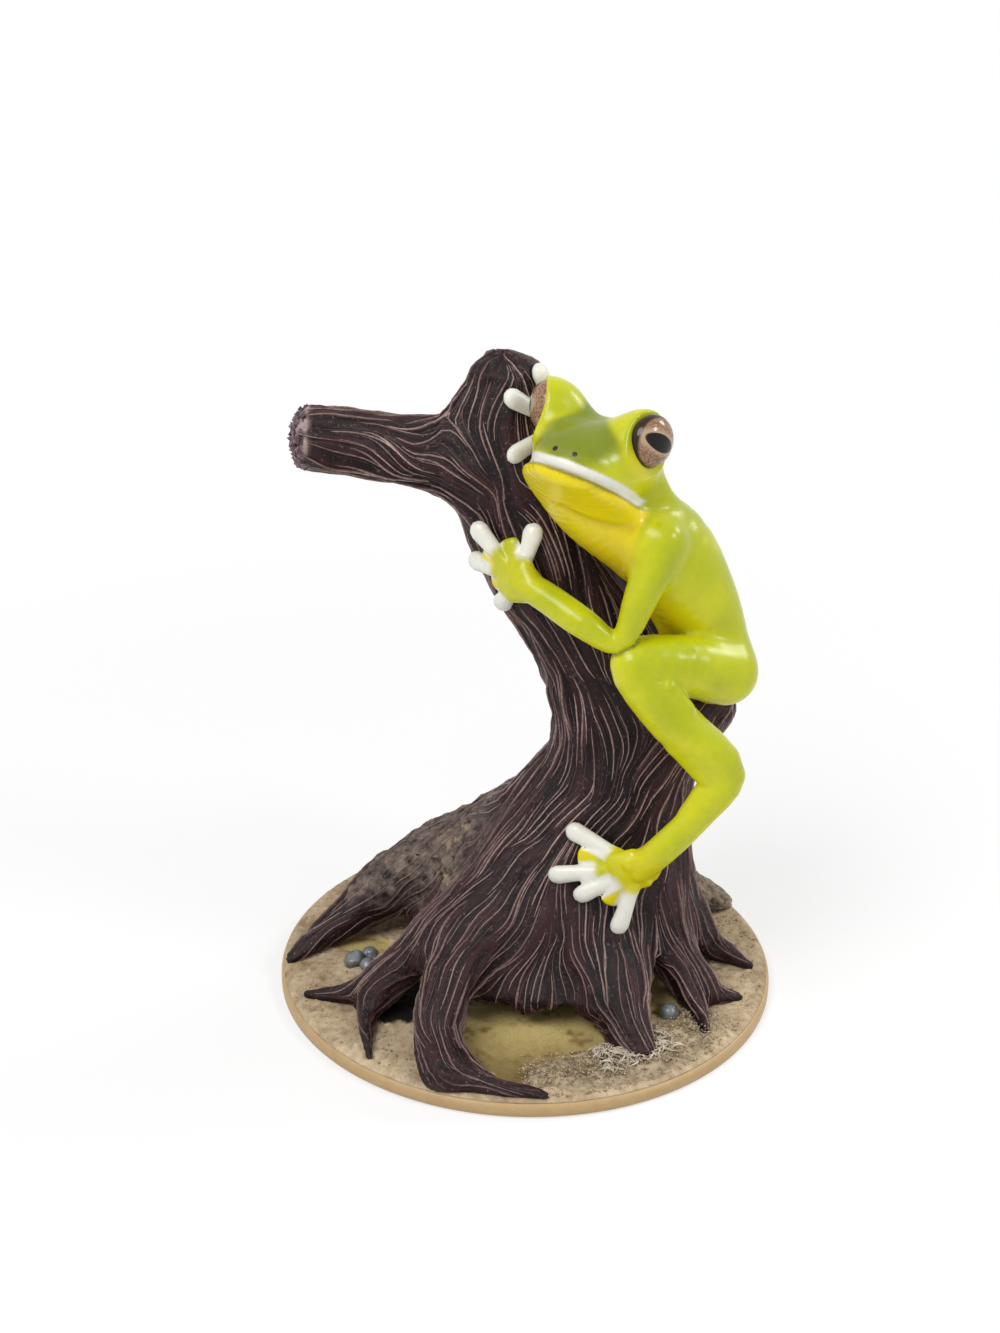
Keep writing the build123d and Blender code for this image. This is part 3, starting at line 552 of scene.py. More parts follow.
# Stump: trunk, side branch, seat knot and roots, cast together in dark resin with raised strands of bark,
# hollow under the flared foot. The strands follow the grain and are dry-brushed in a pinkish grey.
# It is a level of a distance grid, because limbs that melt into each other are no single grid surface.
# Each ring: height above the sand, x and y of its middle, half width and half depth.
TRUNK_RINGS = np.array([
    (5.5, 6.0, 2.0, 29.0, 29.0), (12.5, 8.0, 2.0, 26.0, 25.0), (20.5, 10.0, 2.0, 23.0, 21.5),
    (34.5, 14.2, 2.0, 18.2, 16.0), (48.5, 18.2, 2.0, 14.0, 13.0), (59.5, 17.0, 2.0, 13.8, 12.7),
    (73.5, 10.6, 3.0, 13.7, 12.5), (83.5, 4.2, 3.5, 14.0, 12.0), (95.5, -1.5, 4.0, 12.7, 11.0),
    (106.5, -5.6, 4.0, 10.3, 9.3), (114.5, -6.7, 4.0, 8.9, 7.9), (120.5, -5.8, 4.0, 6.6, 6.4),
])
TRUNK_TOP_RISE = 4.8
CORE_RADIUS = 15.0
# The branch: how far it reaches to the left, the height where it starts, and its rise.
BRANCH_RUN = (40.6, 103.3, 5.9)
BRANCH_RADII = (8.8, 6.5, 6.1, 6.1)
BRANCH_MELT = 4.5
KNOB_FLAT = 3.0
KNOB_ROUND = 4.5
# The seat knot's end: height above the sand, bearing round the trunk, and distance out from the bark.
SEAT = (57.0, -3.0, 2.0)
SEAT_RADII = (8.5, 8.5, 6.0)
ROOT_START_DEPTH = 9.0
# Each root: height and bearing where it leaves the trunk, then bearing, reach, height and radius of stations.
ROOTS = {
    "root_front_left": ((18.5, -129.5), ((-118.5, 30.5, 10.0, 5.0), (-114.5, 39.4, 4.2, 4.5),
                                         (-109.0, 45.6, 1.2, 3.3))),
    "root_front_right": ((16.5, -63.4), ((-53.0, 30.0, 7.0, 5.1), (-56.2, 36.0, 2.4, 4.2), (-57.2, 40.8, 0.6, 2.5))),
    "root_left_fork": ((26.5, -140.0), ((-130.6, 18.4, 18.0, 5.2), (-139.8, 27.7, 11.8, 3.9), (-145.4, 33.8, 5.2, 2.6),
                                        (-152.1, 39.6, 1.6, 2.1), (-158.0, 46.4, 0.3, 0.9))),
    "root_left": ((24.5, 160.6), ((146.7, 19.1, 16.0, 6.2), (159.0, 28.6, 10.6, 6.2), (171.0, 36.6, 5.0, 4.2),
                                  (186.0, 48.0, 0.4, 1.1))),
    "root_back_left": ((34.5, 143.8), ((113.6, 17.5, 20.0, 6.6), (130.2, 29.9, 11.0, 6.3), (138.1, 38.0, 3.6, 4.7),
                                       (144.0, 44.6, 0.3, 1.6))),
    "root_back": ((24.5, 95.0), ((74.0, 28.0, 10.0, 5.2), (82.5, 37.5, 3.0, 4.0), (86.2, 45.2, 0.6, 2.1))),
    "root_back_right": ((24.5, 29.0), ((24.1, 31.0, 12.5, 4.5), (26.4, 40.0, 4.8, 3.8), (26.0, 47.0, 0.6, 2.1))),
    "root_right": ((18.5, 7.0), ((5.2, 32.5, 7.2, 3.9), (0.0, 39.0, 2.6, 2.6), (-4.4, 45.6, 0.4, 1.0))),
    "root_right_front": ((18.5, -35.0), ((-19.6, 30.6, 8.6, 3.7), (-23.4, 35.8, 4.0, 3.0), (-21.8, 39.9, 1.4, 2.2),
                                         (-19.4, 45.1, 0.3, 0.9))),
    "root_front_toe": (None, ((-107.6, 44.8, 1.2, 2.9), (-97.7, 46.6, 0.9, 2.0), (-85.0, 48.4, 0.2, 0.7))),
    "root_left_prong": (None, ((-145.4, 33.8, 4.6, 2.2), (-139.4, 40.4, 1.9, 1.5), (-127.6, 47.4, 0.3, 0.7))),
    "root_right_prong": (None, ((-23.4, 35.8, 3.8, 2.6), (-30.8, 39.2, 1.6, 1.7), (-37.1, 43.9, 0.3, 0.9))),
}
WOOD_STEP = 0.6
WOOD_BOX = ((-50.0, -50.0, 2.6), (50.0, 50.0, 130.5))
WOOD_SPLITS = (22.0, 72.0)
LIMB_MELT = 6.5
SKIRT_RAG, SKIRT_DROP = 2.2, 0.6
WALL = 3.6
HOLLOW_RISE, CORE_RISE = 9.0, 4.0
ROOT_SINK = 0.35
# The arch on the right: bearing, spread in degrees, and rise.
SMALL_ARCH = (-44.0, 14.0, 6.0)
BARK_DARK = (21, 9, 10)
BARK_MID = (56, 28, 31)
STRAND_MAROON = (80, 44, 46)
BARK_LIGHT = (224, 196, 186)
CREST = (0.42, 0.92)
FLECKS = (0.6, 0.74)
KNOB_GREY = (178, 152, 156)
KNOB_START = 42.0
KNOB_HEIGHTS = (90.0, 96.0)
KNOB_LUMPS = 170
KNOB_LUMP_SIZES = (0.35, 0.8)
MUD_TONES = ((138, 120, 110), (27, 20, 20))
SANDY = (178, 158, 130)
# Caked places: their bearing, then how many degrees from it they end and are full.
MUD_BEARING = (168.0, 40.0, 26.0)
MUD_FOOT, MUD_TOP = (11.0, 16.0), (-38.0, -30.0)
HEAP_BEARING = (22.0, 20.0, 10.0)
HEAP_TOP = (-20.0, -14.0)
RIDGE_RISE, CORD_RISE = 0.22, 0.45
GRAIN_STEP = 2.0
TRUNK_FADE, LIMB_FADE, LIMB_PULL = 2.0, 1.5, 1.2
GRAIN_BOX = ((-52.0, -52.0, 0.0), (52.0, 52.0, 132.0))
STREAK_STEPS, STREAK_STRIDE = 10, 0.9
STRAND_COUNT = 3400
STRAND_STEPS = 6
STRAND_STRIDE = 1.45
STRAND_CELL = 1.5
STRONG_SHARE = 0.45
# Ranges of the strands' half width, height and paleness.
STRONG_STRANDS = ((0.22, 0.4), (0.42, 0.8), (0.55, 1.0))
FAINT_STRANDS = ((0.1, 0.22), (0.15, 0.4), (0.02, 0.3))
STRAND_SINK = 0.22
# Heights over which the painted shade on the low strands fades out.
STRAND_SHADE_RISE = (22.0, 42.0)


def smooth_curve(marks, columns, at):
    """Smooth curve through columns of values at known marks: cubic spans with averaged slopes at the marks."""
    steps = np.diff(columns, axis=0) / np.diff(marks)[:, None]
    slopes = np.concatenate([steps[:1], (steps[1:] + steps[:-1]) / 2, steps[-1:]])
    spot = np.clip(np.searchsorted(marks, at, "right") - 1, 0, len(marks) - 2)
    width = (marks[spot + 1] - marks[spot])[:, None]
    share = (at - marks[spot])[:, None] / width
    rest = 1 - share
    hold = columns[spot] * (1 + 2 * share) * rest**2 + columns[spot + 1] * (1 + 2 * rest) * share**2
    return hold + width * share * rest * (slopes[spot] * rest - slopes[spot + 1] * share)


def ring_at(heights):
    """Middle x and y, half width and half depth of the trunk at heights above the sand."""
    inside = np.clip(np.atleast_1d(heights), TRUNK_RINGS[0, 0], TRUNK_RINGS[-1, 0])
    return smooth_curve(TRUNK_RINGS[:, 0], TRUNK_RINGS[:, 1:], inside)


def by_trunk(height, bearing, standoff):
    """Point at a height and bearing, a distance out from the bark."""
    x, y, wide, deep = ring_at(height)[0]
    east, north = math.cos(math.radians(bearing)), math.sin(math.radians(bearing))
    out = wide * deep / math.hypot(deep * east, wide * north) + standoff
    return np.array([x + out * east, y + out * north, GROUND + height])


def on_base(bearing, reach, height):
    """Point at a bearing and distance from the base's axis, at a height above the sand."""
    return swept(reach, math.radians(bearing), GROUND + height)


def unit(ways):
    """Directions of the same ways, with length one."""
    return ways / np.maximum(np.linalg.norm(ways, axis=-1, keepdims=True), 1e-9)


def trunk_distance(points):
    """Distance from the trunk: how far outside its oval ring a point is, times the ring's smaller half.

    The top is domed.
    """
    height = points[:, 2] - GROUND
    ring = ring_at(height)
    reach = np.hypot((points[:, 0] - ring[:, 0]) / ring[:, 2], (points[:, 1] - ring[:, 1]) / ring[:, 3])
    over = np.maximum(height - TRUNK_RINGS[-1, 0], 0) / TRUNK_TOP_RISE
    return (np.hypot(reach, over) - 1) * np.minimum(ring[:, 2], ring[:, 3])


def run_distance(points, start, end, first, last, side=None):
    """Distance from a straight run with an oval section that changes evenly from its first to its last halves.

    The nearest place on the run is found, then how far outside the section there the point is,
    times the section's smaller half. The ends are domed.
    """
    way = end - start
    length = np.linalg.norm(way)
    way = way / length
    if side is None:
        side = np.array([0, 0, 1.0]) if abs(way[2]) < 0.8 else np.array([1.0, 0, 0])
    side = side - way * (side @ way)
    side = side / np.linalg.norm(side)
    off = points - start
    along = off @ way
    share = np.clip(along / length, 0, 1)
    wide, deep = (first[axis] + share * (last[axis] - first[axis]) for axis in (0, 1))
    small = np.minimum(wide, deep)
    past_end = (along - share * length) / small
    reach = np.sqrt(((off @ side) / wide) ** 2 + ((off @ np.cross(way, side)) / deep) ** 2 + past_end**2)
    return (reach - 1) * small


def melt(first, second, width):
    """Union of two distances with a rounded inner corner of that width."""
    near = np.maximum(width - np.abs(first - second), 0) / width
    return np.minimum(first, second) - near * near * width / 4


class Clay:
    """A grid of distances over a box, into which runs are pressed, and whose zero level is the skin."""

    def __init__(self, low, high, step):
        self.low, self.step = np.asarray(low, float), step
        self.shape = np.ceil((np.asarray(high) - self.low) / step).astype(int) + 1
        self.depth = np.full(self.shape, 50.0, np.float32)

    def patch(self, low, high):
        """The part of the grid between two corners, as slices, and its points."""
        first = np.clip(np.floor((low - self.low) / self.step).astype(int), 0, self.shape - 1)
        last = np.clip(np.ceil((high - self.low) / self.step).astype(int) + 1, first + 1, self.shape)
        lines = [self.low[axis] + self.step * np.arange(first[axis], last[axis]) for axis in range(3)]
        where = tuple(slice(*pair) for pair in zip(first, last))
        return where, np.stack(np.meshgrid(*lines, indexing="ij"), -1).reshape(-1, 3).astype(np.float32)

    def points(self):
        """All points of the grid."""
        return self.patch(self.low, self.low + self.step * self.shape)[1]

    def press(self, runs, margin=4.0):
        """Unites straight runs with what is there, each worked out only near itself."""
        for start, end, first, last, side in runs:
            reach = max(*first, *last) + margin
            where, points = self.patch(np.minimum(start, end) - reach, np.maximum(start, end) + reach)
            found = run_distance(points, start, end, first, last, side).reshape(self.depth[where].shape)
            self.depth[where] = np.minimum(self.depth[where], found)
        return self

    def skin(self):
        """Points and quads of the zero level: a point in each crossed cell, at the mean of its edge crossings,
        then drawn onto the level along the grid's slope, and a quad round each crossed grid edge."""
        inside = self.depth < 0
        offsets = np.array(list(product((0, 1), repeat=3)))
        size = self.shape - 1
        count = sum(inside[i:i + size[0], j:j + size[1], k:k + size[2]].astype(np.int8) for i, j, k in offsets)
        active = (count > 0) & (count < 8)
        cells = np.argwhere(active)
        index = np.full(active.shape, -1, np.int64)
        index[active] = np.arange(len(cells))
        values = np.stack([self.depth[tuple((cells + offset).T)] for offset in offsets], 1)
        total, hits = np.zeros((len(cells), 3)), np.zeros(len(cells))
        for a, b in product(range(8), repeat=2):
            if a < b and np.abs(offsets[a] - offsets[b]).sum() == 1:
                crossed = (values[:, a] < 0) != (values[:, b] < 0)
                share = values[:, a] / np.where(crossed, values[:, a] - values[:, b], 1)
                total += crossed[:, None] * (offsets[a] + share[:, None] * (offsets[b] - offsets[a]))
                hits += crossed
        points = self.low + self.step * (cells + total / hits[:, None])
        quads = []
        for axis in range(3):
            u, v = np.eye(3, dtype=int)[(axis + 1) % 3], np.eye(3, dtype=int)[(axis + 2) % 3]
            spots = np.argwhere(inside != np.roll(inside, -1, axis))
            spots = spots[np.all((spots - u - v >= 0) & (spots < size), axis=1)]
            ring = np.stack([index[tuple((spots - shift).T)] for shift in (u + v, v, 0 * u, u)], 1)
            flip = ~inside[tuple(spots.T)]
            ring[flip] = ring[flip, ::-1]
            quads.append(ring)
        for _ in range(2):
            points = points - np.clip(self.level(points), -0.4, 0.4)[:, None] * self.slope(points)
        return points, np.concatenate(quads)

    def level(self, points):
        """Distance at points."""
        return read(self.depth, self.low, self.step, points)

    def slope(self, points):
        """Outward direction at points, from differences of the distance."""
        span = self.step * 0.75
        return unit(np.stack(
            [self.level(points + span * axis) - self.level(points - span * axis) for axis in np.eye(3)], 1
        ))


def path_runs(points, radii, side=None, steps=4):
    """Straight runs along a smooth path through points, with oval or round sections."""
    halves = np.array([radius if np.ndim(radius) else (radius, radius) for radius in radii], float)
    rows = np.concatenate([np.array(points), halves], 1)
    marks = np.concatenate([[0], np.cumsum(np.linalg.norm(np.diff(rows[:, :3], axis=0), axis=1))])
    at = np.unique(np.concatenate([np.linspace(a, b, steps + 1) for a, b in zip(marks, marks[1:])]))
    fine = smooth_curve(marks, rows, at)
    return [(a[:3], b[:3], a[3:], b[3:], side) for a, b in zip(fine, fine[1:])]


branch_start = np.array([*ring_at(BRANCH_RUN[1])[0, :2], GROUND + BRANCH_RUN[1]])
branch_end = branch_start + [-BRANCH_RUN[0], 0, BRANCH_RUN[2]]
branch_way = (branch_end - branch_start) / np.linalg.norm(branch_end - branch_start)
branch_neck = branch_start + branch_way * (ring_at(BRANCH_RUN[1])[0, 2] + BRANCH_RADII[0])
branch_tip = branch_end - branch_way * (BRANCH_RADII[-1] - KNOB_FLAT)
seat_end = by_trunk(*SEAT)
seat_start = by_trunk(SEAT[0] - SEAT_RADII[-1], SEAT[1], -SEAT_RADII[0])
limbs = [
    path_runs([branch_tip, (branch_neck + branch_end) / 2, branch_neck, branch_start], BRANCH_RADII[::-1]),
    path_runs([seat_end, (seat_start + seat_end) / 2, seat_start], SEAT_RADII[::-1]),
]
for start, stations in ROOTS.values():
    root_points = [on_base(*station[:3]) for station in stations]
    root_radii = [station[3] for station in stations]
    if start:
        root_points.insert(0, by_trunk(*start, -ROOT_START_DEPTH))
        root_radii.insert(0, root_radii[0])
    limbs.append(path_runs(root_points, root_radii, steps=3))

wood = Clay(*WOOD_BOX, WOOD_STEP)
wood_grid = wood.points()
bark = trunk_distance(wood_grid)
bearing = np.arctan2(wood_grid[:, 1] - TRUNK_RINGS[0, 2], wood_grid[:, 0] - TRUNK_RINGS[0, 1])
foot_edge = GROUND + TRUNK_RINGS[0, 0] + SKIRT_RAG * noise(2.6, 41, swept(20.0, bearing, 0.0)) - SKIRT_DROP
foot_edge += SMALL_ARCH[2] * np.exp(-(((np.degrees(bearing) - SMALL_ARCH[0]) / SMALL_ARCH[1]) ** 2))
hollow = np.maximum(bark + WALL, wood_grid[:, 2] - foot_edge - HOLLOW_RISE)
core = np.hypot(wood_grid[:, 0] - TRUNK_RINGS[0, 1], wood_grid[:, 1] - TRUNK_RINGS[0, 2]) - CORE_RADIUS
bark = np.maximum(np.maximum(bark, foot_edge - wood_grid[:, 2]), -hollow)
bark = np.minimum(bark, np.maximum(core, wood_grid[:, 2] - foot_edge - CORE_RISE))
wood.depth = bark.reshape(wood.shape).astype(np.float32)
for limb in limbs:
    branchlet = Clay(*WOOD_BOX, WOOD_STEP).press(limb)
    if limb is limbs[0]:
        past_end = ((wood_grid - branch_end) @ branch_way).reshape(wood.shape)
        branchlet.depth = -melt(-branchlet.depth, -past_end, KNOB_ROUND)
    wood.depth = melt(wood.depth, branchlet.depth, BRANCH_MELT if limb is limbs[0] else LIMB_MELT)
under_sand = (GROUND - ROOT_SINK - wood_grid[:, 2]).reshape(wood.shape)
wood.depth = np.maximum(wood.depth, under_sand).astype(np.float32)
wood_points, wood_quads = wood.skin()

# The grain runs down the trunk and along each limb, with slow swirls.
field = Clay(*GRAIN_BOX, GRAIN_STEP)
field_points = field.points()
height = field_points[:, 2] - GROUND
here, below = ring_at(height), ring_at(height - 1.0)
east = (field_points[:, 0] - here[:, 0]) / here[:, 2]
north = (field_points[:, 1] - here[:, 1]) / here[:, 3]
reach = np.maximum(np.hypot(east, north), 0.05)
shift = below - here
downwards = unit(np.stack([
    shift[:, 0] + shift[:, 2] * east / reach, shift[:, 1] + shift[:, 3] * north / reach, -np.ones(len(height)),
], -1))
grain_way = downwards * np.exp(-np.maximum(trunk_distance(field_points), 0) / TRUNK_FADE)[:, None]
for limb in limbs:
    for start, end, first, last, side in limb:
        nearness = np.exp(-np.maximum(run_distance(field_points, start, end, first, last), 0) / LIMB_FADE)
        grain_way += LIMB_PULL * nearness[:, None] * (end - start) / np.linalg.norm(end - start)
swirl = np.stack([0.5 * noise(9.0, seed, field_points) + 0.65 * noise(4.2, seed + 3, field_points)
                  for seed in (51, 52, 53)], -1)
grain_way = (unit(grain_way) + swirl).reshape(*field.shape, 3).astype(np.float32)


def along_grain(points, out, move):
    """Points moved along the grain, in the plane that the outward directions stand on."""
    way = read(grain_way, field.low, GRAIN_STEP, points)
    return points + move * unit(way - out * np.sum(way * out, axis=1)[:, None])


def streaks(points, out, scales, steps, stride):
    """Streaks along the grain: noise of each scale averaged along the path that follows the grain both ways."""
    sums = [0.0 for _ in scales]
    for sense in (1, -1):
        walk = points
        for _ in range(steps):
            walk = along_grain(walk, out, sense * stride)
            sums = [total + read(*scale, walk) for total, scale in zip(sums, scales)]
    return [(total - total.mean()) / total.std() for total in sums]


# Strands start by chance on the bark outside, and follow the grain both ways.
outside = (trunk_distance(wood_points) > -2.5) & (wood_points[:, 2] > GROUND + 1.0)
off_knob = (wood_points[:, 0] > 2.0 - KNOB_START) | (wood_points[:, 2] < KNOB_HEIGHTS[0])
seeds = wood_points[chance.choice(np.flatnonzero(outside & off_knob), STRAND_COUNT, replace=False)]
sides = []
for sense in (-1, 1):
    walk, steps = seeds, []
    for _ in range(STRAND_STEPS):
        walk = along_grain(walk, wood.slope(walk), sense * STRAND_STRIDE)
        walk = walk - np.clip(wood.level(walk), -1, 1)[:, None] * wood.slope(walk)
        steps.append(walk)
    sides.append(steps)
strand_paths = np.stack([*sides[0][::-1], seeds, *sides[1]], 1)
path_ways = unit(np.gradient(strand_paths, axis=1))

# The bark has ridges along the grain, a lumpy knob at the branch's end with a painted highlight on its raised rim, and
# caked mud.
bark_points = np.concatenate([wood_points, strand_paths.reshape(-1, 3)])
bark_out = wood.slope(bark_points)
ridge, cord = streaks(bark_points, bark_out, [lattice(1.0, 61), lattice(2.8, 62)], STREAK_STEPS, STREAK_STRIDE)
bark_height = bark_points[:, 2]
by_knob = -bark_points[:, 0] - KNOB_START
high_up = ramp(bark_height, *KNOB_HEIGHTS)
knob = ramp(by_knob, -0.3, 0.6) * high_up
lumpy = 0.6 * noise(2.2, 63, bark_points) + 0.6 * noise(1.1, 68, bark_points)
# The knob's end has a raised rim, which also carries a painted highlight.
knob_rim_and_highlight = np.exp(-(((by_knob + 0.6 * lumpy) / 0.35) ** 2)) * high_up * ramp(lumpy, -0.3, 0.4)
bearing = np.arctan2(bark_points[:, 1] - TRUNK_RINGS[0, 2], bark_points[:, 0] - TRUNK_RINGS[0, 1])
bearing = np.degrees(bearing) % 360
crumbs = noise(0.75, 67, bark_points)
blotch = 0.5 * noise(3.4, 65, bark_points) + 0.35 * noise(1.3, 66, bark_points) + 0.3 * crumbs
mud = ramp(-np.abs(bearing - MUD_BEARING[0]) + 14 * blotch, -MUD_BEARING[1], -MUD_BEARING[2])
mud *= ramp(bark_height + 4 * blotch, *MUD_FOOT) * ramp(-bark_height - 5 * blotch, *MUD_TOP)
caking = noise(4.4, 69, bark_points) + 0.5 * crumbs
heap = ramp(-np.abs(bearing - HEAP_BEARING[0]) + 10 * blotch, -HEAP_BEARING[1], -HEAP_BEARING[2])
heap *= ramp(-bark_height - 3 * blotch, *HEAP_TOP)
dusting = np.maximum(mud * ramp(caking, 0.42, 0.7), heap * ramp(caking, -0.7, 0.2))
mud = np.maximum(mud * (0.25 + 0.75 * ramp(caking, -0.5, 0.1)), heap)
rise = (RIDGE_RISE * np.tanh(ridge) + CORD_RISE * np.tanh(cord * 0.8)) * (1 - 0.8 * knob)
rise = rise + knob * 0.6 * lumpy + 0.45 * knob_rim_and_highlight
rise = rise * (1 - 0.5 * mud) + mud * (0.6 * blotch + 0.3 * crumbs)
rise *= ramp(bark_height, GROUND, GROUND + 1.5)
bark_points = bark_points + bark_out * rise[:, None]
brush = np.clip(0.75 + 0.5 * noise(6.0, 64, bark_points), 0.25, 1)
bark_paint = mixed_tones(ramp(ridge + 0.3 * cord, -1.2, 2.4), BARK_DARK, BARK_MID)
brush_on(bark_paint, knob * ramp(lumpy, -0.5, 0.45), KNOB_GREY)
# Painted highlight along the knob's raised rim.
brush_on(bark_paint, 0.8 * knob_rim_and_highlight, BARK_LIGHT)
brush_on(bark_paint, 0.8 * dusting, SANDY)

plain = len(wood_points)
wood_points = bark_points[:plain]
path_out = bark_out[plain:].reshape(strand_paths.shape)
path_side = np.cross(path_out, path_ways)
taper = np.sqrt(1.02 - np.linspace(-1, 1, strand_paths.shape[1]) ** 2)[None, :, None]
# A strand is strong where it comes first in enough of the cells it crosses, so strong strands keep apart.
cells = np.floor(strand_paths.reshape(-1, 3) / STRAND_CELL).astype(int)
_, first_in, same = np.unique(cells, axis=0, return_index=True, return_inverse=True)
owner = (first_in // strand_paths.shape[1])[same.ravel()].reshape(strand_paths.shape[:2])
strong = (owner == np.arange(STRAND_COUNT)[:, None]).mean(1) > STRONG_SHARE
half, tall, pale = (
    np.where(strong, chance.uniform(*thick, STRAND_COUNT), chance.uniform(*thin, STRAND_COUNT))[:, None, None]
    for thick, thin in zip(STRONG_STRANDS, FAINT_STRANDS)
)
half, tall = half * taper, tall * taper
base = bark_points[plain:].reshape(strand_paths.shape) - STRAND_SINK * path_out
strand_points = np.stack([base - half * path_side, base + half * path_side, base + tall * path_out], 2)
strand_out = np.stack([0.5 * path_out - path_side, 0.5 * path_out + path_side, path_out], 2)
strand_paint = bark_paint[plain:]
brush_on(strand_paint, 0.6 * (1 - mud[plain:]), STRAND_MAROON)
strand_paint = np.repeat(strand_paint.reshape(*strand_paths.shape[:2], 1, 4), 3, axis=2)
strand_light = brush[plain:].reshape(strand_paths.shape[:2]) * pale[..., 0]
# Painted shade: the strands' pale paint is dimmed low on the stump.
strand_light = strand_light * (0.7 + 0.3 * ramp(strand_paths[..., 2], *STRAND_SHADE_RISE))
strand_mud = mud[plain:].reshape(strand_paths.shape[:2])
strand_wear = np.stack([
    np.stack([np.full_like(strand_light, corner), strand_light, strand_mud * (1 - 0.6 * corner)], -1)
    for corner in (0.0, 0.0, 1.0)
], 2)
lump_seeds = chance.choice(np.flatnonzero(knob[:plain] > 0.9), KNOB_LUMPS, replace=False)
lump_points, lump_faces = chips(wood_points[lump_seeds], chance.uniform(*KNOB_LUMP_SIZES, KNOB_LUMPS), 9)
lump_tint = np.repeat(chance.uniform(0.1, 1.0, KNOB_LUMPS), 6)
lump_paint = mixed_tones(lump_tint, BARK_MID, KNOB_GREY)


def layered(tree, share, colour):
    """Lays a colour over the base colour that the tree's shader has, by a share."""
    base = tree.nodes["Principled BSDF"].inputs["Base Color"]
    tree.links.new(blended(tree, share, base.links[0].from_socket, colour), base)


bark_finish = painted("dry_brushed_bark", 0.42, 0.2, 2300.0, 2.4, 0.0003, 0.5)
tree = bark_finish.node_tree
wear = node(tree, "ShaderNodeAttribute", attribute_name="wear")
worn = node(tree, "ShaderNodeSeparateXYZ", {0: wear.outputs["Vector"]})
broken = mottled(tree, (1, 1, 1, 1), (0.4, 0.4, 0.4, 1), 1200.0, 3.0)
touched = worked(tree, "MULTIPLY", ranged(tree, worn.outputs[0], *CREST), worn.outputs[1])
lined = worked(tree, "MULTIPLY", touched, broken.outputs["Color"])
gritty = mottled(tree, (1, 1, 1, 1), (0, 0, 0, 1), 1500.0, 1.0)
flecks = ranged(tree, gritty.outputs["Height"], *FLECKS, 0.0, 0.2)
layered(tree, worked(tree, "MAXIMUM", lined, flecks), tone(*BARK_LIGHT))
earth = mottled(tree, *(tone(*mud_tone) for mud_tone in MUD_TONES), 420.0, 3.2)
layered(tree, worn.outputs[2], earth.outputs["Color"])
plain_wear = np.stack([np.zeros(plain), np.zeros(plain), mud[:plain] * (1 - dusting[:plain])], -1)

mesh_out = np.zeros_like(wood_points)
quad_corners = [wood_points[wood_quads[:, corner]] for corner in range(4)]
quad_out = np.cross(quad_corners[2] - quad_corners[0], quad_corners[3] - quad_corners[1])
for corner in range(4):
    np.add.at(mesh_out, wood_quads[:, corner], quad_out)
mesh_out = unit(mesh_out)
# The stump is parted by height, so that each length stays a light mesh.
quad_band = np.digitize(wood_points[wood_quads].mean(1)[:, 2], WOOD_SPLITS)
strand_band = np.digitize(seeds[:, 2], WOOD_SPLITS)
stump_pieces = (("stump_foot", list(ROOTS)), ("stump_middle", ["trunk", "seat_stub"]), ("stump_upper", ["branch"]))
for band, (piece_name, nodes) in enumerate(stump_pieces):
    used, band_quads = np.unique(wood_quads[quad_band == band], return_inverse=True)
    band_quads = band_quads.reshape(-1, 4)
    points = wood_points[used]
    edges = np.concatenate([band_quads[:, [a, (a + 1) % 4]] for a in range(4)])
    _, same, counts = np.unique(np.sort(edges, 1), axis=0, return_inverse=True, return_counts=True)
    open_edges = edges[counts[same.ravel()] == 1]
    nearest = np.abs(points[open_edges[:, 0], 2][:, None] - np.array(WOOD_SPLITS)).argmin(1)
    caps, middles = [], []
    for level in np.unique(nearest):
        rim = open_edges[nearest == level]
        caps.append(np.stack([rim[:, 1], rim[:, 0], np.full(len(rim), len(used) + len(middles))], 1))
        middles.append(points[rim[:, 0]].mean(0))
    lump_share = slice(None) if piece_name == "stump_upper" else slice(0)
    lumps, lump_sides, lump_tones = lump_points[lump_share], lump_faces[lump_share], lump_paint[lump_share]
    chosen = strand_band == band
    strands = strand_points[chosen]
    spot = len(used) + len(middles) + np.arange(strands.size // 3).reshape(strands.shape[:3])
    after = np.roll(spot, -1, 2)
    strand_sides = np.stack([spot[:, :-1], after[:, :-1], after[:, 1:], spot[:, 1:]], -1).reshape(-1, 4)
    strand_ends = np.concatenate([spot[:, 0, ::-1], spot[:, -1]])
    # The caps between the lengths are out of sight, so their middles borrow the paint of other points.
    lent = np.concatenate([used, used[:len(middles)]])
    all_points = np.concatenate([points, middles, strands.reshape(-1, 3), lumps])
    lump_out = np.tile([-1.0, 0, 0], (len(lumps), 1))
    lump_start = len(all_points) - len(lumps)
    triangles = np.concatenate([strand_ends, lump_sides + lump_start])
    cast(
        piece_name, all_points, [band_quads, *caps, strand_sides, triangles], bark_finish, "bark_paint", nodes,
        {"paint": np.concatenate([bark_paint[lent], strand_paint[chosen].reshape(-1, 4), lump_tones]),
         "wear": np.concatenate([plain_wear[lent], strand_wear[chosen].reshape(-1, 3), np.zeros_like(lumps)])},
        np.concatenate([mesh_out[lent], strand_out[chosen].reshape(-1, 3), lump_out]),
    )

# Frog: torso, head, jaw and limbs cast in one skin, sprayed lime and yellow and finished in clear gloss.
# It is a level of a distance grid too, so that shoulders, hips and webs melt into each other.
# Places on the frog: height above the sand, bearing round the trunk, and distance out from the bark.
SPINE = ((99.0, -30.3, 14.6), (93.4, -29.3, 15.4), (83.9, -25.4, 13.9), (73.5, -22.7, 10.6), (67.4, -20.0, 8.7))
SPINE_HALVES = ((6.4, 5.8), (9.0, 8.2), (7.7, 8.6), (6.1, 8.0), (6.8, 7.0))
EYE_LINE = (117.5, -46.1, 17.1)
HEAD_TURN, HEAD_NOD, HEAD_TILT = (math.radians(angle) for angle in (-117.6, -12.0, 10.0))
FACE_LIFT = math.radians(42.0)
HEAD_ASIDE = 0.9
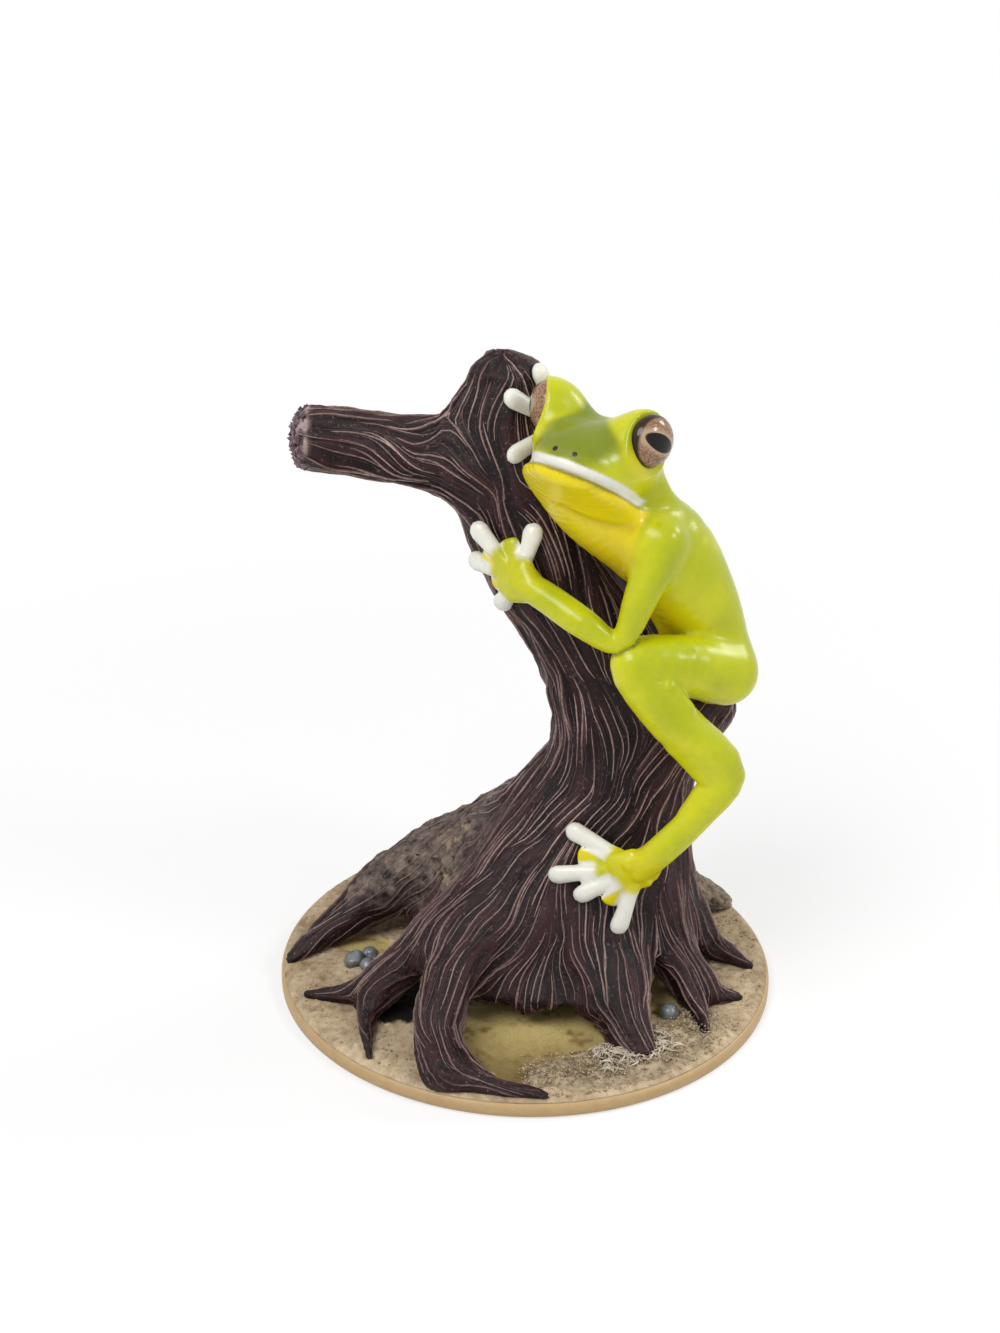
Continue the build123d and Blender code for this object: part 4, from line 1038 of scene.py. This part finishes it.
# Stations of the head: ahead of the eyes, above them, half width and half height.
HEAD_STATIONS = (
    (-9.0, -6.0, 8.5, 7.0), (-4.0, -7.0, 9.7, 7.9), (0.5, -7.5, 9.5, 7.5), (4.5, -8.4, 8.1, 5.8), (7.8, -9.4, 5.4, 3.1),
)
MOUTH_LEVEL = -10.6
MOUTH_REACH = 9.0
LIP_TALL = 1.5
LIP_ROUND = 0.8
EYE_RADIUS = 4.75
EYE_PLACES = {"left": 9.4, "right": -10.5}
EYE_TURNS = {"left": (25.0, 0.0), "right": (25.0, -17.0)}
LID = 0.5
LID_BACK, LID_EDGE = 0.6, 0.7
LID_MELT = 5.5
BROW = ((-2.0, -6.2, 0.3), (-2.0, -1.0, -1.2))
BROW_HALVES = (2.7, 2.7)
BROW_MELT = 2.5
NAPE = ((-8.0, 9.0, -4.5), (-14.5, 13.6, -9.4))
NAPE_HALVES = ((3.0, 3.0), (2.4, 2.4))
# Stations of the jaw: ahead of the eyes, above them, to their left, half width and half height.
JAW_STATIONS = (
    (6.6, -11.3, 0.0, 5.8, 1.9), (1.0, -11.8, 0.0, 9.7, 2.9), (-5.5, -12.8, 1.0, 10.0, 4.6),
    (-10.5, -14.4, 4.5, 8.6, 6.0),
)
NECK_MELT = 3.0
BREAST = (95.4, -37.9, 14.1)
BREAST_HALVES = (7.6, 7.2)
NOSTRILS = (10.2, 1.9, -7.7)
NOSTRIL_EDGE = (0.468, 0.572)
THROAT_FOLD = np.array([
    (-1.3, -0.9, -15.8), (-2.0, 2.8, -16.2), (-2.4, 5.8, -16.1), (-3.7, 8.9, -15.6), (-5.5, 11.2, -14.9),
])
FOLD_HALF = 1.0
FOLD_DEPTH = 0.35
# Each limb: the places of its joints, then of its digits' tips.
ARMS = {
    "left": (
        ((97.2, -40.2, 21.6), (88.4, -52.9, 17.4), (79.0, -71.2, 13.0), (82.0, -79.8, 10.8), (84.8, -92.3, 6.2),
         (86.6, -109.2, 3.2)),
        ((94.8, -85.2, 1.2), (94.1, -133.3, 1.2), (87.5, -150.0, 1.2), (80.0, -145.0, 1.2)),
    ),
    "right": (
        ((100.5, -10.7, 10.0), (104.5, 0.0, 14.5), (108.5, 6.5, 16.8), (110.5, -2.0, 11.0), (111.5, -2.3, 5.6),
         (112.8, -18.0, 2.6)),
        ((109.2, -74.0, 1.2), (118.8, -75.7, 1.2), (122.5, -34.0, 1.2), (119.0, 25.0, 1.2)),
    ),
}
ARM_RADII = (3.6, 3.2, 2.0, 2.8, 2.8, 2.6)
LEGS = {
    "left": (
        ((69.8, -32.4, 14.2), (73.2, -50.7, 12.9), (74.6, -69.4, 12.0), (64.0, -65.5, 12.9), (52.6, -50.6, 15.7),
         (44.5, -58.3, 13.1), (36.9, -65.6, 9.6), (31.9, -69.4, 5.7)),
        ((36.3, -109.1, 1.2), (28.4, -108.7, 1.2), (25.5, -91.4, 1.2), (19.5, -69.0, 1.2)),
    ),
    "right": (
        ((68.5, 0.8, 8.2), (73.0, 28.0, 6.2), (76.5, 57.6, 8.4), (65.5, 57.0, 9.4), (54.5, 50.2, 10.2),
         (46.5, 59.0, 8.4), (39.5, 66.9, 5.8), (34.5, 78.7, 3.6)),
        ((36.0, 112.0, 1.2), (28.5, 110.0, 1.2), (25.0, 94.0, 1.2), (20.0, 74.0, 1.2)),
    ),
}
LEG_RADII = (6.2, 5.6, 4.4, 4.6, 3.5, 2.95, 2.9, 2.8)
DIGIT_HALVES = np.array([(1.8, 1.5), (1.4, 1.25), (1.95, 1.4), (1.75, 1.25), (1.1, 0.85)])
DIGIT_MARKS = (0.0, 0.5, 1.0)
DIGIT_POINTS = (0.7, 1.25)
PALM_HALVES = (4.7, 2.2)
PALM_START, PALM_FAN = 0.4, 0.35
WEB_HALVES = ((3.0, 1.6), (2.0, 0.8))
WEB_REACHES = {"left_arm": 0.8, "right_arm": 0.4, "left_leg": 0.8, "right_leg": 0.8}
HAND_WHITE, FOOT_WHITE = 5.6, 8.6
WHITE_SHARE, WHITE_FADE = 0.78, 2.0
SKIN_STEP = 0.42
SKIN_BOX = np.array([(-20.0, -45.0, 18.0), (50.0, 32.0, 130.4)])
FACE_REACH = 24.0
JOINT_MELT = (0.35, 2.6)
JOINT_REACH = (-14.0, -7.0)
LIME = (203, 203, 18)
LIME_DEEP = (146, 160, 10)
YELLOW = (226, 206, 10)
GOLD = (228, 207, 10)
CROWN_OLIVE = (106, 120, 16)
CHALK = (226, 225, 214)
MOUTH_DARK = (66, 52, 16)
NOSTRIL_DARK = (30, 25, 8)
THROAT_AMBER_AND_FOLD_SHADE = (178, 146, 4)
CREASE_SHADE_AND_SPECKS = (92, 92, 20)
FLANK = (84.0, 9.0)
SHOULDER = (82.0, 90.0)
KNEE_RIDGES = (((74.6, -64.0, 15.0), (75.4, -50.0, 16.4)), ((71.4, -63.0, 16.2), (67.0, -60.5, 16.0)))
RIDGE_HALVES = (1.5, 1.5)
HEEL_CROOK = (((59.6, -65.8, 12.8), (51.5, -54.8, 14.9)), ((51.5, -54.8, 14.9), (44.5, -60.0, 12.8)))
CROOK_HALVES = (2.65, 2.65)
LEG_MELT = 1.2
PALM_PALE = (194, 192, 26)

spine = [by_trunk(*place) for place in SPINE]
torso_side = math.radians(SPINE[2][1] - 90)
torso_side = np.array([math.cos(torso_side), math.sin(torso_side), 0])
eye_line = by_trunk(*EYE_LINE)
level_ahead = np.array([math.cos(HEAD_TURN), math.sin(HEAD_TURN), 0])
ahead = level_ahead * math.cos(HEAD_NOD) + np.array([0, 0, math.sin(HEAD_NOD)])
level_left = np.cross([0, 0, 1.0], level_ahead)
left = level_left * math.cos(HEAD_TILT) - np.cross(ahead, level_left) * math.sin(HEAD_TILT)
crown = np.cross(ahead, left)
ahead, crown = (
    ahead * math.cos(FACE_LIFT) + crown * math.sin(FACE_LIFT),
    crown * math.cos(FACE_LIFT) - ahead * math.sin(FACE_LIFT),
)


def on_face(forth, aside, up):
    """Point of the head: so far ahead, to its left and up from the middle between the eyes."""
    return eye_line + ahead * forth + left * aside + crown * up


head_points = [on_face(forth, HEAD_ASIDE, up) for forth, up, *halves in HEAD_STATIONS]
jaw_points = [on_face(forth, aside, up) for forth, up, aside, *halves in JAW_STATIONS]
eye_ways = {}
for name, (turn, raised) in EYE_TURNS.items():
    turn, raised = math.radians(turn), math.radians(raised)
    level_way = left * np.sign(EYE_PLACES[name]) * math.cos(turn) + ahead * math.sin(turn)
    eye_ways[name] = level_way * math.cos(raised) + crown * math.sin(raised)
eye_middles = {name: eye_line + left * aside for name, aside in EYE_PLACES.items()}


def limb_runs(limb, radii, web_reach):
    """Runs of an arm or leg: its joints in turn, then its digits, narrow in the middle, and the webs between them."""
    joints, tips = limb
    joints = [by_trunk(*joint) for joint in joints]
    ends = [by_trunk(*tip) for tip in tips]
    runs = path_runs(joints, radii, steps=4)
    palm = joints[-1]
    middle_x, middle_y = ring_at(palm[2] - GROUND)[0, :2]
    outwards = np.array([palm[0] - middle_x, palm[1] - middle_y, 0])
    wrist = joints[-2] + (palm - joints[-2]) * PALM_START
    fan = palm + (np.mean(ends, axis=0) - palm) * PALM_FAN
    runs.append((wrist, palm, (radii[-1], radii[-1]), PALM_HALVES, np.cross(outwards, palm - wrist)))
    runs.append((palm, fan, PALM_HALVES, PALM_HALVES, np.cross(outwards, fan - palm)))
    for end in ends:
        way = unit(end - palm)
        places = [palm + (end - palm) * mark for mark in DIGIT_MARKS] + [end + way * past for past in DIGIT_POINTS]
        side = np.cross(outwards, way)
        runs += [(*span, side) for span in zip(places, places[1:], DIGIT_HALVES, DIGIT_HALVES[1:])]
    for one, other in zip(ends, ends[1:]):
        web_end = palm + ((one + other) / 2 - palm) * web_reach
        runs.append((palm, web_end, *WEB_HALVES, np.cross(outwards, web_end - palm)))
    return runs, joints, ends


def pressed(runs):
    """Skin clay with runs pressed into it."""
    return Clay(*SKIN_BOX, SKIN_STEP).press(runs)


# The body, jaw and skull are joined first, then the lids, then the limbs.
body = pressed(path_runs(spine, SPINE_HALVES, torso_side))
skull = pressed(path_runs(head_points, [station[2:] for station in HEAD_STATIONS], left))
jaw_halves = [*(station[3:] for station in JAW_STATIONS), BREAST_HALVES]
jaw = pressed(path_runs([*jaw_points, by_trunk(*BREAST)], jaw_halves, left))
skin_grid = body.points()
lip_level = ((skin_grid - eye_line) @ crown).reshape(skull.depth.shape) - MOUTH_LEVEL
behind = ((skin_grid - eye_line) @ ahead).reshape(skull.depth.shape) + MOUTH_REACH
mouth_cut = np.where(behind > 0, -lip_level, -lip_level + 0.8 * behind)
brow = pressed([(*(on_face(*place) for place in BROW), BROW_HALVES, BROW_HALVES, left)])
skull.depth = melt(skull.depth, brow.depth, BROW_MELT)
skull.depth = -melt(-skull.depth, -mouth_cut, LIP_ROUND)
seam = 0.7 + 2.3 * ramp(-behind, -4.0, 0.0)
body.depth = melt(melt(body.depth, jaw.depth, NECK_MELT), skull.depth, seam)
nape = pressed([(*(on_face(*place) for place in NAPE), *NAPE_HALVES, None)])
body.depth = melt(body.depth, nape.depth, NECK_MELT)
where, face_grid = body.patch(eye_line - FACE_REACH, eye_line + FACE_REACH)
for name, middle in eye_middles.items():
    off = face_grid - (middle - LID_BACK * eye_ways[name])
    lid = np.maximum(np.linalg.norm(off, axis=1) - EYE_RADIUS - LID, off @ eye_ways[name] - LID_EDGE)
    body.depth[where] = melt(body.depth[where], lid.reshape(body.depth[where].shape), LID_MELT)
limb_parts = {}
creases = []
for limb_name, limb, radii in (
    ("left_arm", ARMS["left"], ARM_RADII), ("right_arm", ARMS["right"], ARM_RADII),
    ("left_leg", LEGS["left"], LEG_RADII), ("right_leg", LEGS["right"], LEG_RADII),
):
    runs, joints, ends = limb_runs(limb, radii, WEB_REACHES[limb_name])
    part = pressed(runs)
    if limb_name == "left_leg":
        muscles = [
            (by_trunk(*one), by_trunk(*other), halves, halves, None)
            for spans, halves in ((KNEE_RIDGES, RIDGE_HALVES), (HEEL_CROOK, CROOK_HALVES)) for one, other in spans
        ]
        part.depth = melt(part.depth, pressed(muscles).depth, LEG_MELT)
    limb_parts[limb_name] = (part, joints, ends)
    joint_reach = np.linalg.norm(skin_grid - joints[0], axis=1).reshape(body.depth.shape)
    soft = JOINT_MELT[0] + JOINT_MELT[1] * ramp(-joint_reach, *JOINT_REACH)
    creases.append((body.depth, part.depth))
    body.depth = melt(body.depth, part.depth, soft).astype(np.float32)
skin_points, skin_quads = body.skin()
skin_out = body.slope(skin_points)
fold_path = smooth_curve(np.arange(len(THROAT_FOLD)), THROAT_FOLD, np.linspace(0, len(THROAT_FOLD) - 1.001, 40))
fold_path = eye_line + fold_path @ np.stack([ahead, left, crown])
fold_reach = np.min([np.linalg.norm(skin_points - place, axis=1) for place in fold_path], axis=0)
fold = np.exp(-((fold_reach / FOLD_HALF) ** 2))
skin_points = skin_points - FOLD_DEPTH * fold[:, None] * skin_out

# Broad sprayed tones come first, then the face, the hands and feet, and painted shade in the creases.
skin_paint = np.tile(np.array(tone(*LIME)), (len(skin_points), 1))
cloudy = noise(5.0, 71, skin_points)
speckles = noise(0.9, 72, skin_points) + 0.5 * noise(3.0, 73, skin_points)
rings = ring_at(skin_points[:, 2] - GROUND)
facing_out = np.sum(skin_out[:, :2] * unit(skin_points[:, :2] - rings[:, :2]), axis=1)
brush_on(skin_paint, 0.75 * ramp(0.7 * facing_out + 0.45 * skin_out[:, 2] + 0.25 * cloudy, 0.25, 1.05), LIME_DEEP)
brush_on(skin_paint, ramp(-0.8 * facing_out - 0.4 * skin_out[:, 2] + 0.2 * cloudy, -0.25, 0.65), YELLOW)
in_head = skin_points - eye_line
forth, aside, up = in_head @ ahead, in_head @ left, in_head @ crown
head_share = ramp(-skull.level(skin_points), -1.6, -0.6)
for middle in eye_middles.values():
    by_eye = ramp(-np.linalg.norm(skin_points - middle, axis=1) + 0.8 * cloudy, -8.5, -6.0)
    brush_on(skin_paint, 0.7 * head_share * by_eye, YELLOW)
on_crown = ramp(skin_out @ crown + 0.2 * cloudy, -0.3, 0.3) * ramp(-np.abs(aside - 0.5) + cloudy, -9.5, -5.0)
brush_on(skin_paint, 0.9 * head_share * on_crown, CROWN_OLIVE)
jaw_share = ramp(-jaw.level(skin_points), -1.6, -0.4) * ramp(MOUTH_LEVEL - up, -0.2, 0.3)
from_arm = limb_parts["left_arm"][0].level(skin_points)
off_arm = ramp(from_arm, 0.9, 2.2)
brush_on(skin_paint, jaw_share * off_arm * ramp(-aside, -13.0, -11.8), GOLD)
# Amber on the lower throat, and painted shade in amber along the throat fold.
brush_on(skin_paint, 0.35 * jaw_share * fold + 0.65 * jaw_share * ramp(-up, 16.5, 22.0), THROAT_AMBER_AND_FOLD_SHADE)
off_leg = ramp(limb_parts["left_leg"][0].level(skin_points), 0.3, 1.5)
flank = ramp(-np.abs(skin_points[:, 2] - FLANK[0]) + 1.5 * cloudy, -FLANK[1], 4.0 - FLANK[1])
brush_on(skin_paint, 0.8 * off_arm * off_leg * flank * ramp(-facing_out, -0.8, -0.3), YELLOW)
on_shoulder = ramp(-from_arm, -1.0, -0.3) * ramp(skin_points[:, 2] + 2 * cloudy, *SHOULDER)
brush_on(skin_paint, 0.3 * on_shoulder, LIME_DEEP)
by_mouth = ramp(forth, -8.6, -8.0)
on_lip = ramp(up - MOUTH_LEVEL, -0.25, 0.1) * ramp(MOUTH_LEVEL + LIP_TALL - up, -0.25, 0.15)
brush_on(skin_paint, head_share * by_mouth * on_lip, CHALK)
under_lip = ramp(-np.abs(up - MOUTH_LEVEL + 0.3), -0.35, -0.1) * ramp(-skull.level(skin_points), -2.2, -1.4)
brush_on(skin_paint, 0.6 * by_mouth * under_lip, MOUTH_DARK)
for limb_name, (part, joints, ends) in limb_parts.items():
    on_limb = ramp(-part.level(skin_points), -1.0, -0.3)
    palm = joints[-1]
    white_reach = HAND_WHITE if limb_name.endswith("arm") else FOOT_WHITE
    palm_tone, palm_share = (PALM_PALE, 0.85) if limb_name.endswith("arm") else (YELLOW, 0.45)
    by_palm = ramp(-np.linalg.norm(skin_points - palm, axis=1), -9.0, -4.0)
    brush_on(skin_paint, palm_share * on_limb * by_palm, palm_tone)
    for one, other in list(zip(ends, ends[1:]))[limb_name.endswith("arm"):]:
        web_middle = palm + ((one + other) / 2 - palm) * WEB_REACHES[limb_name]
        by_web = ramp(-np.linalg.norm(skin_points - web_middle, axis=1), -4.0, -2.2)
        brush_on(skin_paint, 0.85 * on_limb * by_web, YELLOW)
    for end in ends:
        way = unit(palm - end)
        off = skin_points - end
        along = off @ way
        beside = np.linalg.norm(off - along[:, None] * way, axis=1)
        white_end = min(white_reach, WHITE_SHARE * np.linalg.norm(palm - end))
        whitened = ramp(-along, -white_end, WHITE_FADE - white_end)
        brush_on(skin_paint, on_limb * whitened * ramp(-beside, -2.5, -2.0), CHALK)
# Painted shade along the creases where each limb meets the body.
for depths in creases:
    nearness = sum(np.abs(read(depth, body.low, SKIN_STEP, skin_points)) for depth in depths)
    brush_on(skin_paint, 0.65 * ramp(-nearness, -0.9, -0.25), CREASE_SHADE_AND_SPECKS)
# Dark specks in the paint, in the same dark tone.
brush_on(skin_paint, 0.5 * ramp(speckles, 1.05, 1.25), CREASE_SHADE_AND_SPECKS)
skin_finish = painted("lime_gloss", 0.27, 0.35, 700.0, 1.4, 0.00008, 0.84)
tree = skin_finish.node_tree
spot = node(tree, "ShaderNodeTexCoord")
for side in (1, -1):
    nostril = on_face(NOSTRILS[0], side * NOSTRILS[1], NOSTRILS[2]) * MILLIMETRE
    off = node(tree, "ShaderNodeVectorMath", {0: spot.outputs["Object"], 1: nostril}, operation="DISTANCE")
    hole = ranged(tree, off.outputs["Value"], *(edge * MILLIMETRE for edge in NOSTRIL_EDGE), 1.0, 0.0)
    layered(tree, hole, tone(*NOSTRIL_DARK))
frog_nodes = ["frog_torso", "frog_head", "lower_jaw"] + [f"{side}_{part}" for side in ("left", "right") for part in (
    "upper_arm", "forearm", "hand", "thigh", "shin", "tarsus", "foot")]
cast("frog_skin", skin_points, [skin_quads], skin_finish, "frog_paint", frog_nodes, {"paint": skin_paint})

# Eyes: clear glass domes over a bronze iris with a long dark pupil.
# They are bought in, glued into their sockets, and the lids close over their rims.
DOME_HALF = 4.7
DOME_RISE = 3.2
DOME_BACK = 2.0
DOME_COLUMNS = 72
IRIS_SPREADS = {"left": 1.0, "right": 0.9}
DOME_OUTS = {"left": 1.1, "right": -0.6}
PUPIL_SHIFTS = {"left": 0.12, "right": 0.4}
PUPIL_HALVES = (0.68, 0.32)
IRIS_BRONZE = (168, 134, 104)
IRIS_BROWN = (92, 62, 44)
PUPIL_RING_HIGHLIGHT = (196, 172, 142)
IRIS_RIM = (42, 24, 13)
PUPIL = (8, 6, 6)
eye_glass, tree, shader = finish("eye_glass", 0.12)
shader.inputs["Specular IOR Level"].default_value = 0.3
place = node(tree, "ShaderNodeAttribute", attribute_name="iris")
split = node(tree, "ShaderNodeSeparateXYZ", {0: place.outputs["Vector"]})
flecks = mottled(tree, tone(*IRIS_BRONZE), tone(*IRIS_BROWN), 2600.0, 3.0)
tree.links.new(flecks.outputs["Color"], shader.inputs["Base Color"])
wide = worked(tree, "DIVIDE", worked(tree, "ADD", split.outputs[0], split.outputs[2]), PUPIL_HALVES[0])
tall = worked(tree, "DIVIDE", split.outputs[1], PUPIL_HALVES[1])
oval = worked(tree, "ADD", worked(tree, "POWER", wide, 2.0), worked(tree, "POWER", tall, 2.0))
flat = node(tree, "ShaderNodeVectorMath", {0: place.outputs["Vector"], 1: (1, 1, 0)}, operation="MULTIPLY")
reach = node(tree, "ShaderNodeVectorMath", {0: flat.outputs["Vector"]}, operation="LENGTH")
# Painted highlight: a pale ring round the pupil.
layered(tree, ranged(tree, oval, 1.1, 2.4, 0.55, 0.0), tone(*PUPIL_RING_HIGHLIGHT))
layered(tree, ranged(tree, reach.outputs["Value"], 0.88, 0.94), tone(*IRIS_RIM))
layered(tree, ranged(tree, oval, 0.9, 1.1, 1.0, 0.0), tone(*PUPIL))
polar = np.linspace(0, np.pi, 41)
for name, middle in eye_middles.items():
    way = eye_ways[name]
    tall_way = unit(crown - way * (crown @ way))
    wide_way = np.cross(tall_way, way)
    dome_rise = np.where(np.cos(polar) > 0, DOME_RISE, DOME_BACK) * np.cos(polar)
    dome, dome_faces = closed_rows(turned(DOME_HALF * np.sin(polar), dome_rise, DOME_COLUMNS))
    iris = np.full((len(dome), 3), PUPIL_SHIFTS[name])
    iris[:, :2] = dome[:, :2] / DOME_HALF * IRIS_SPREADS[name]
    dome = middle + way * DOME_OUTS[name] + dome @ np.stack([wide_way, tall_way, way])
    cast(name + "_eye_dome", dome, dome_faces, eye_glass, "eye_glass", [name + "_eye"], {"iris": iris})

# Dowels: plain pins cut from drawn steel rod, glued into blind bores between the castings.
# They are out of sight in the finished figurine, so their CAD solids stay and only get a finish.
STEEL_PALE = (190, 188, 184)
STEEL_DARK = (140, 138, 134)
steel, tree, shader = finish("drawn_steel", 0.35)
shader.inputs["Metallic"].default_value = 1.0
drawn = mottled(tree, tone(*STEEL_PALE), tone(*STEEL_DARK), 1500.0, 1.5)
tree.links.new(drawn.outputs["Color"], shader.inputs["Base Color"])
for pin in ("trunk_pin", "branch_pin", "seat_pin", "neck_pin", "arm_pins", "leg_pins"):
    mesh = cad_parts[pin].data
    mesh.materials.clear()
    mesh.materials.append(steel)
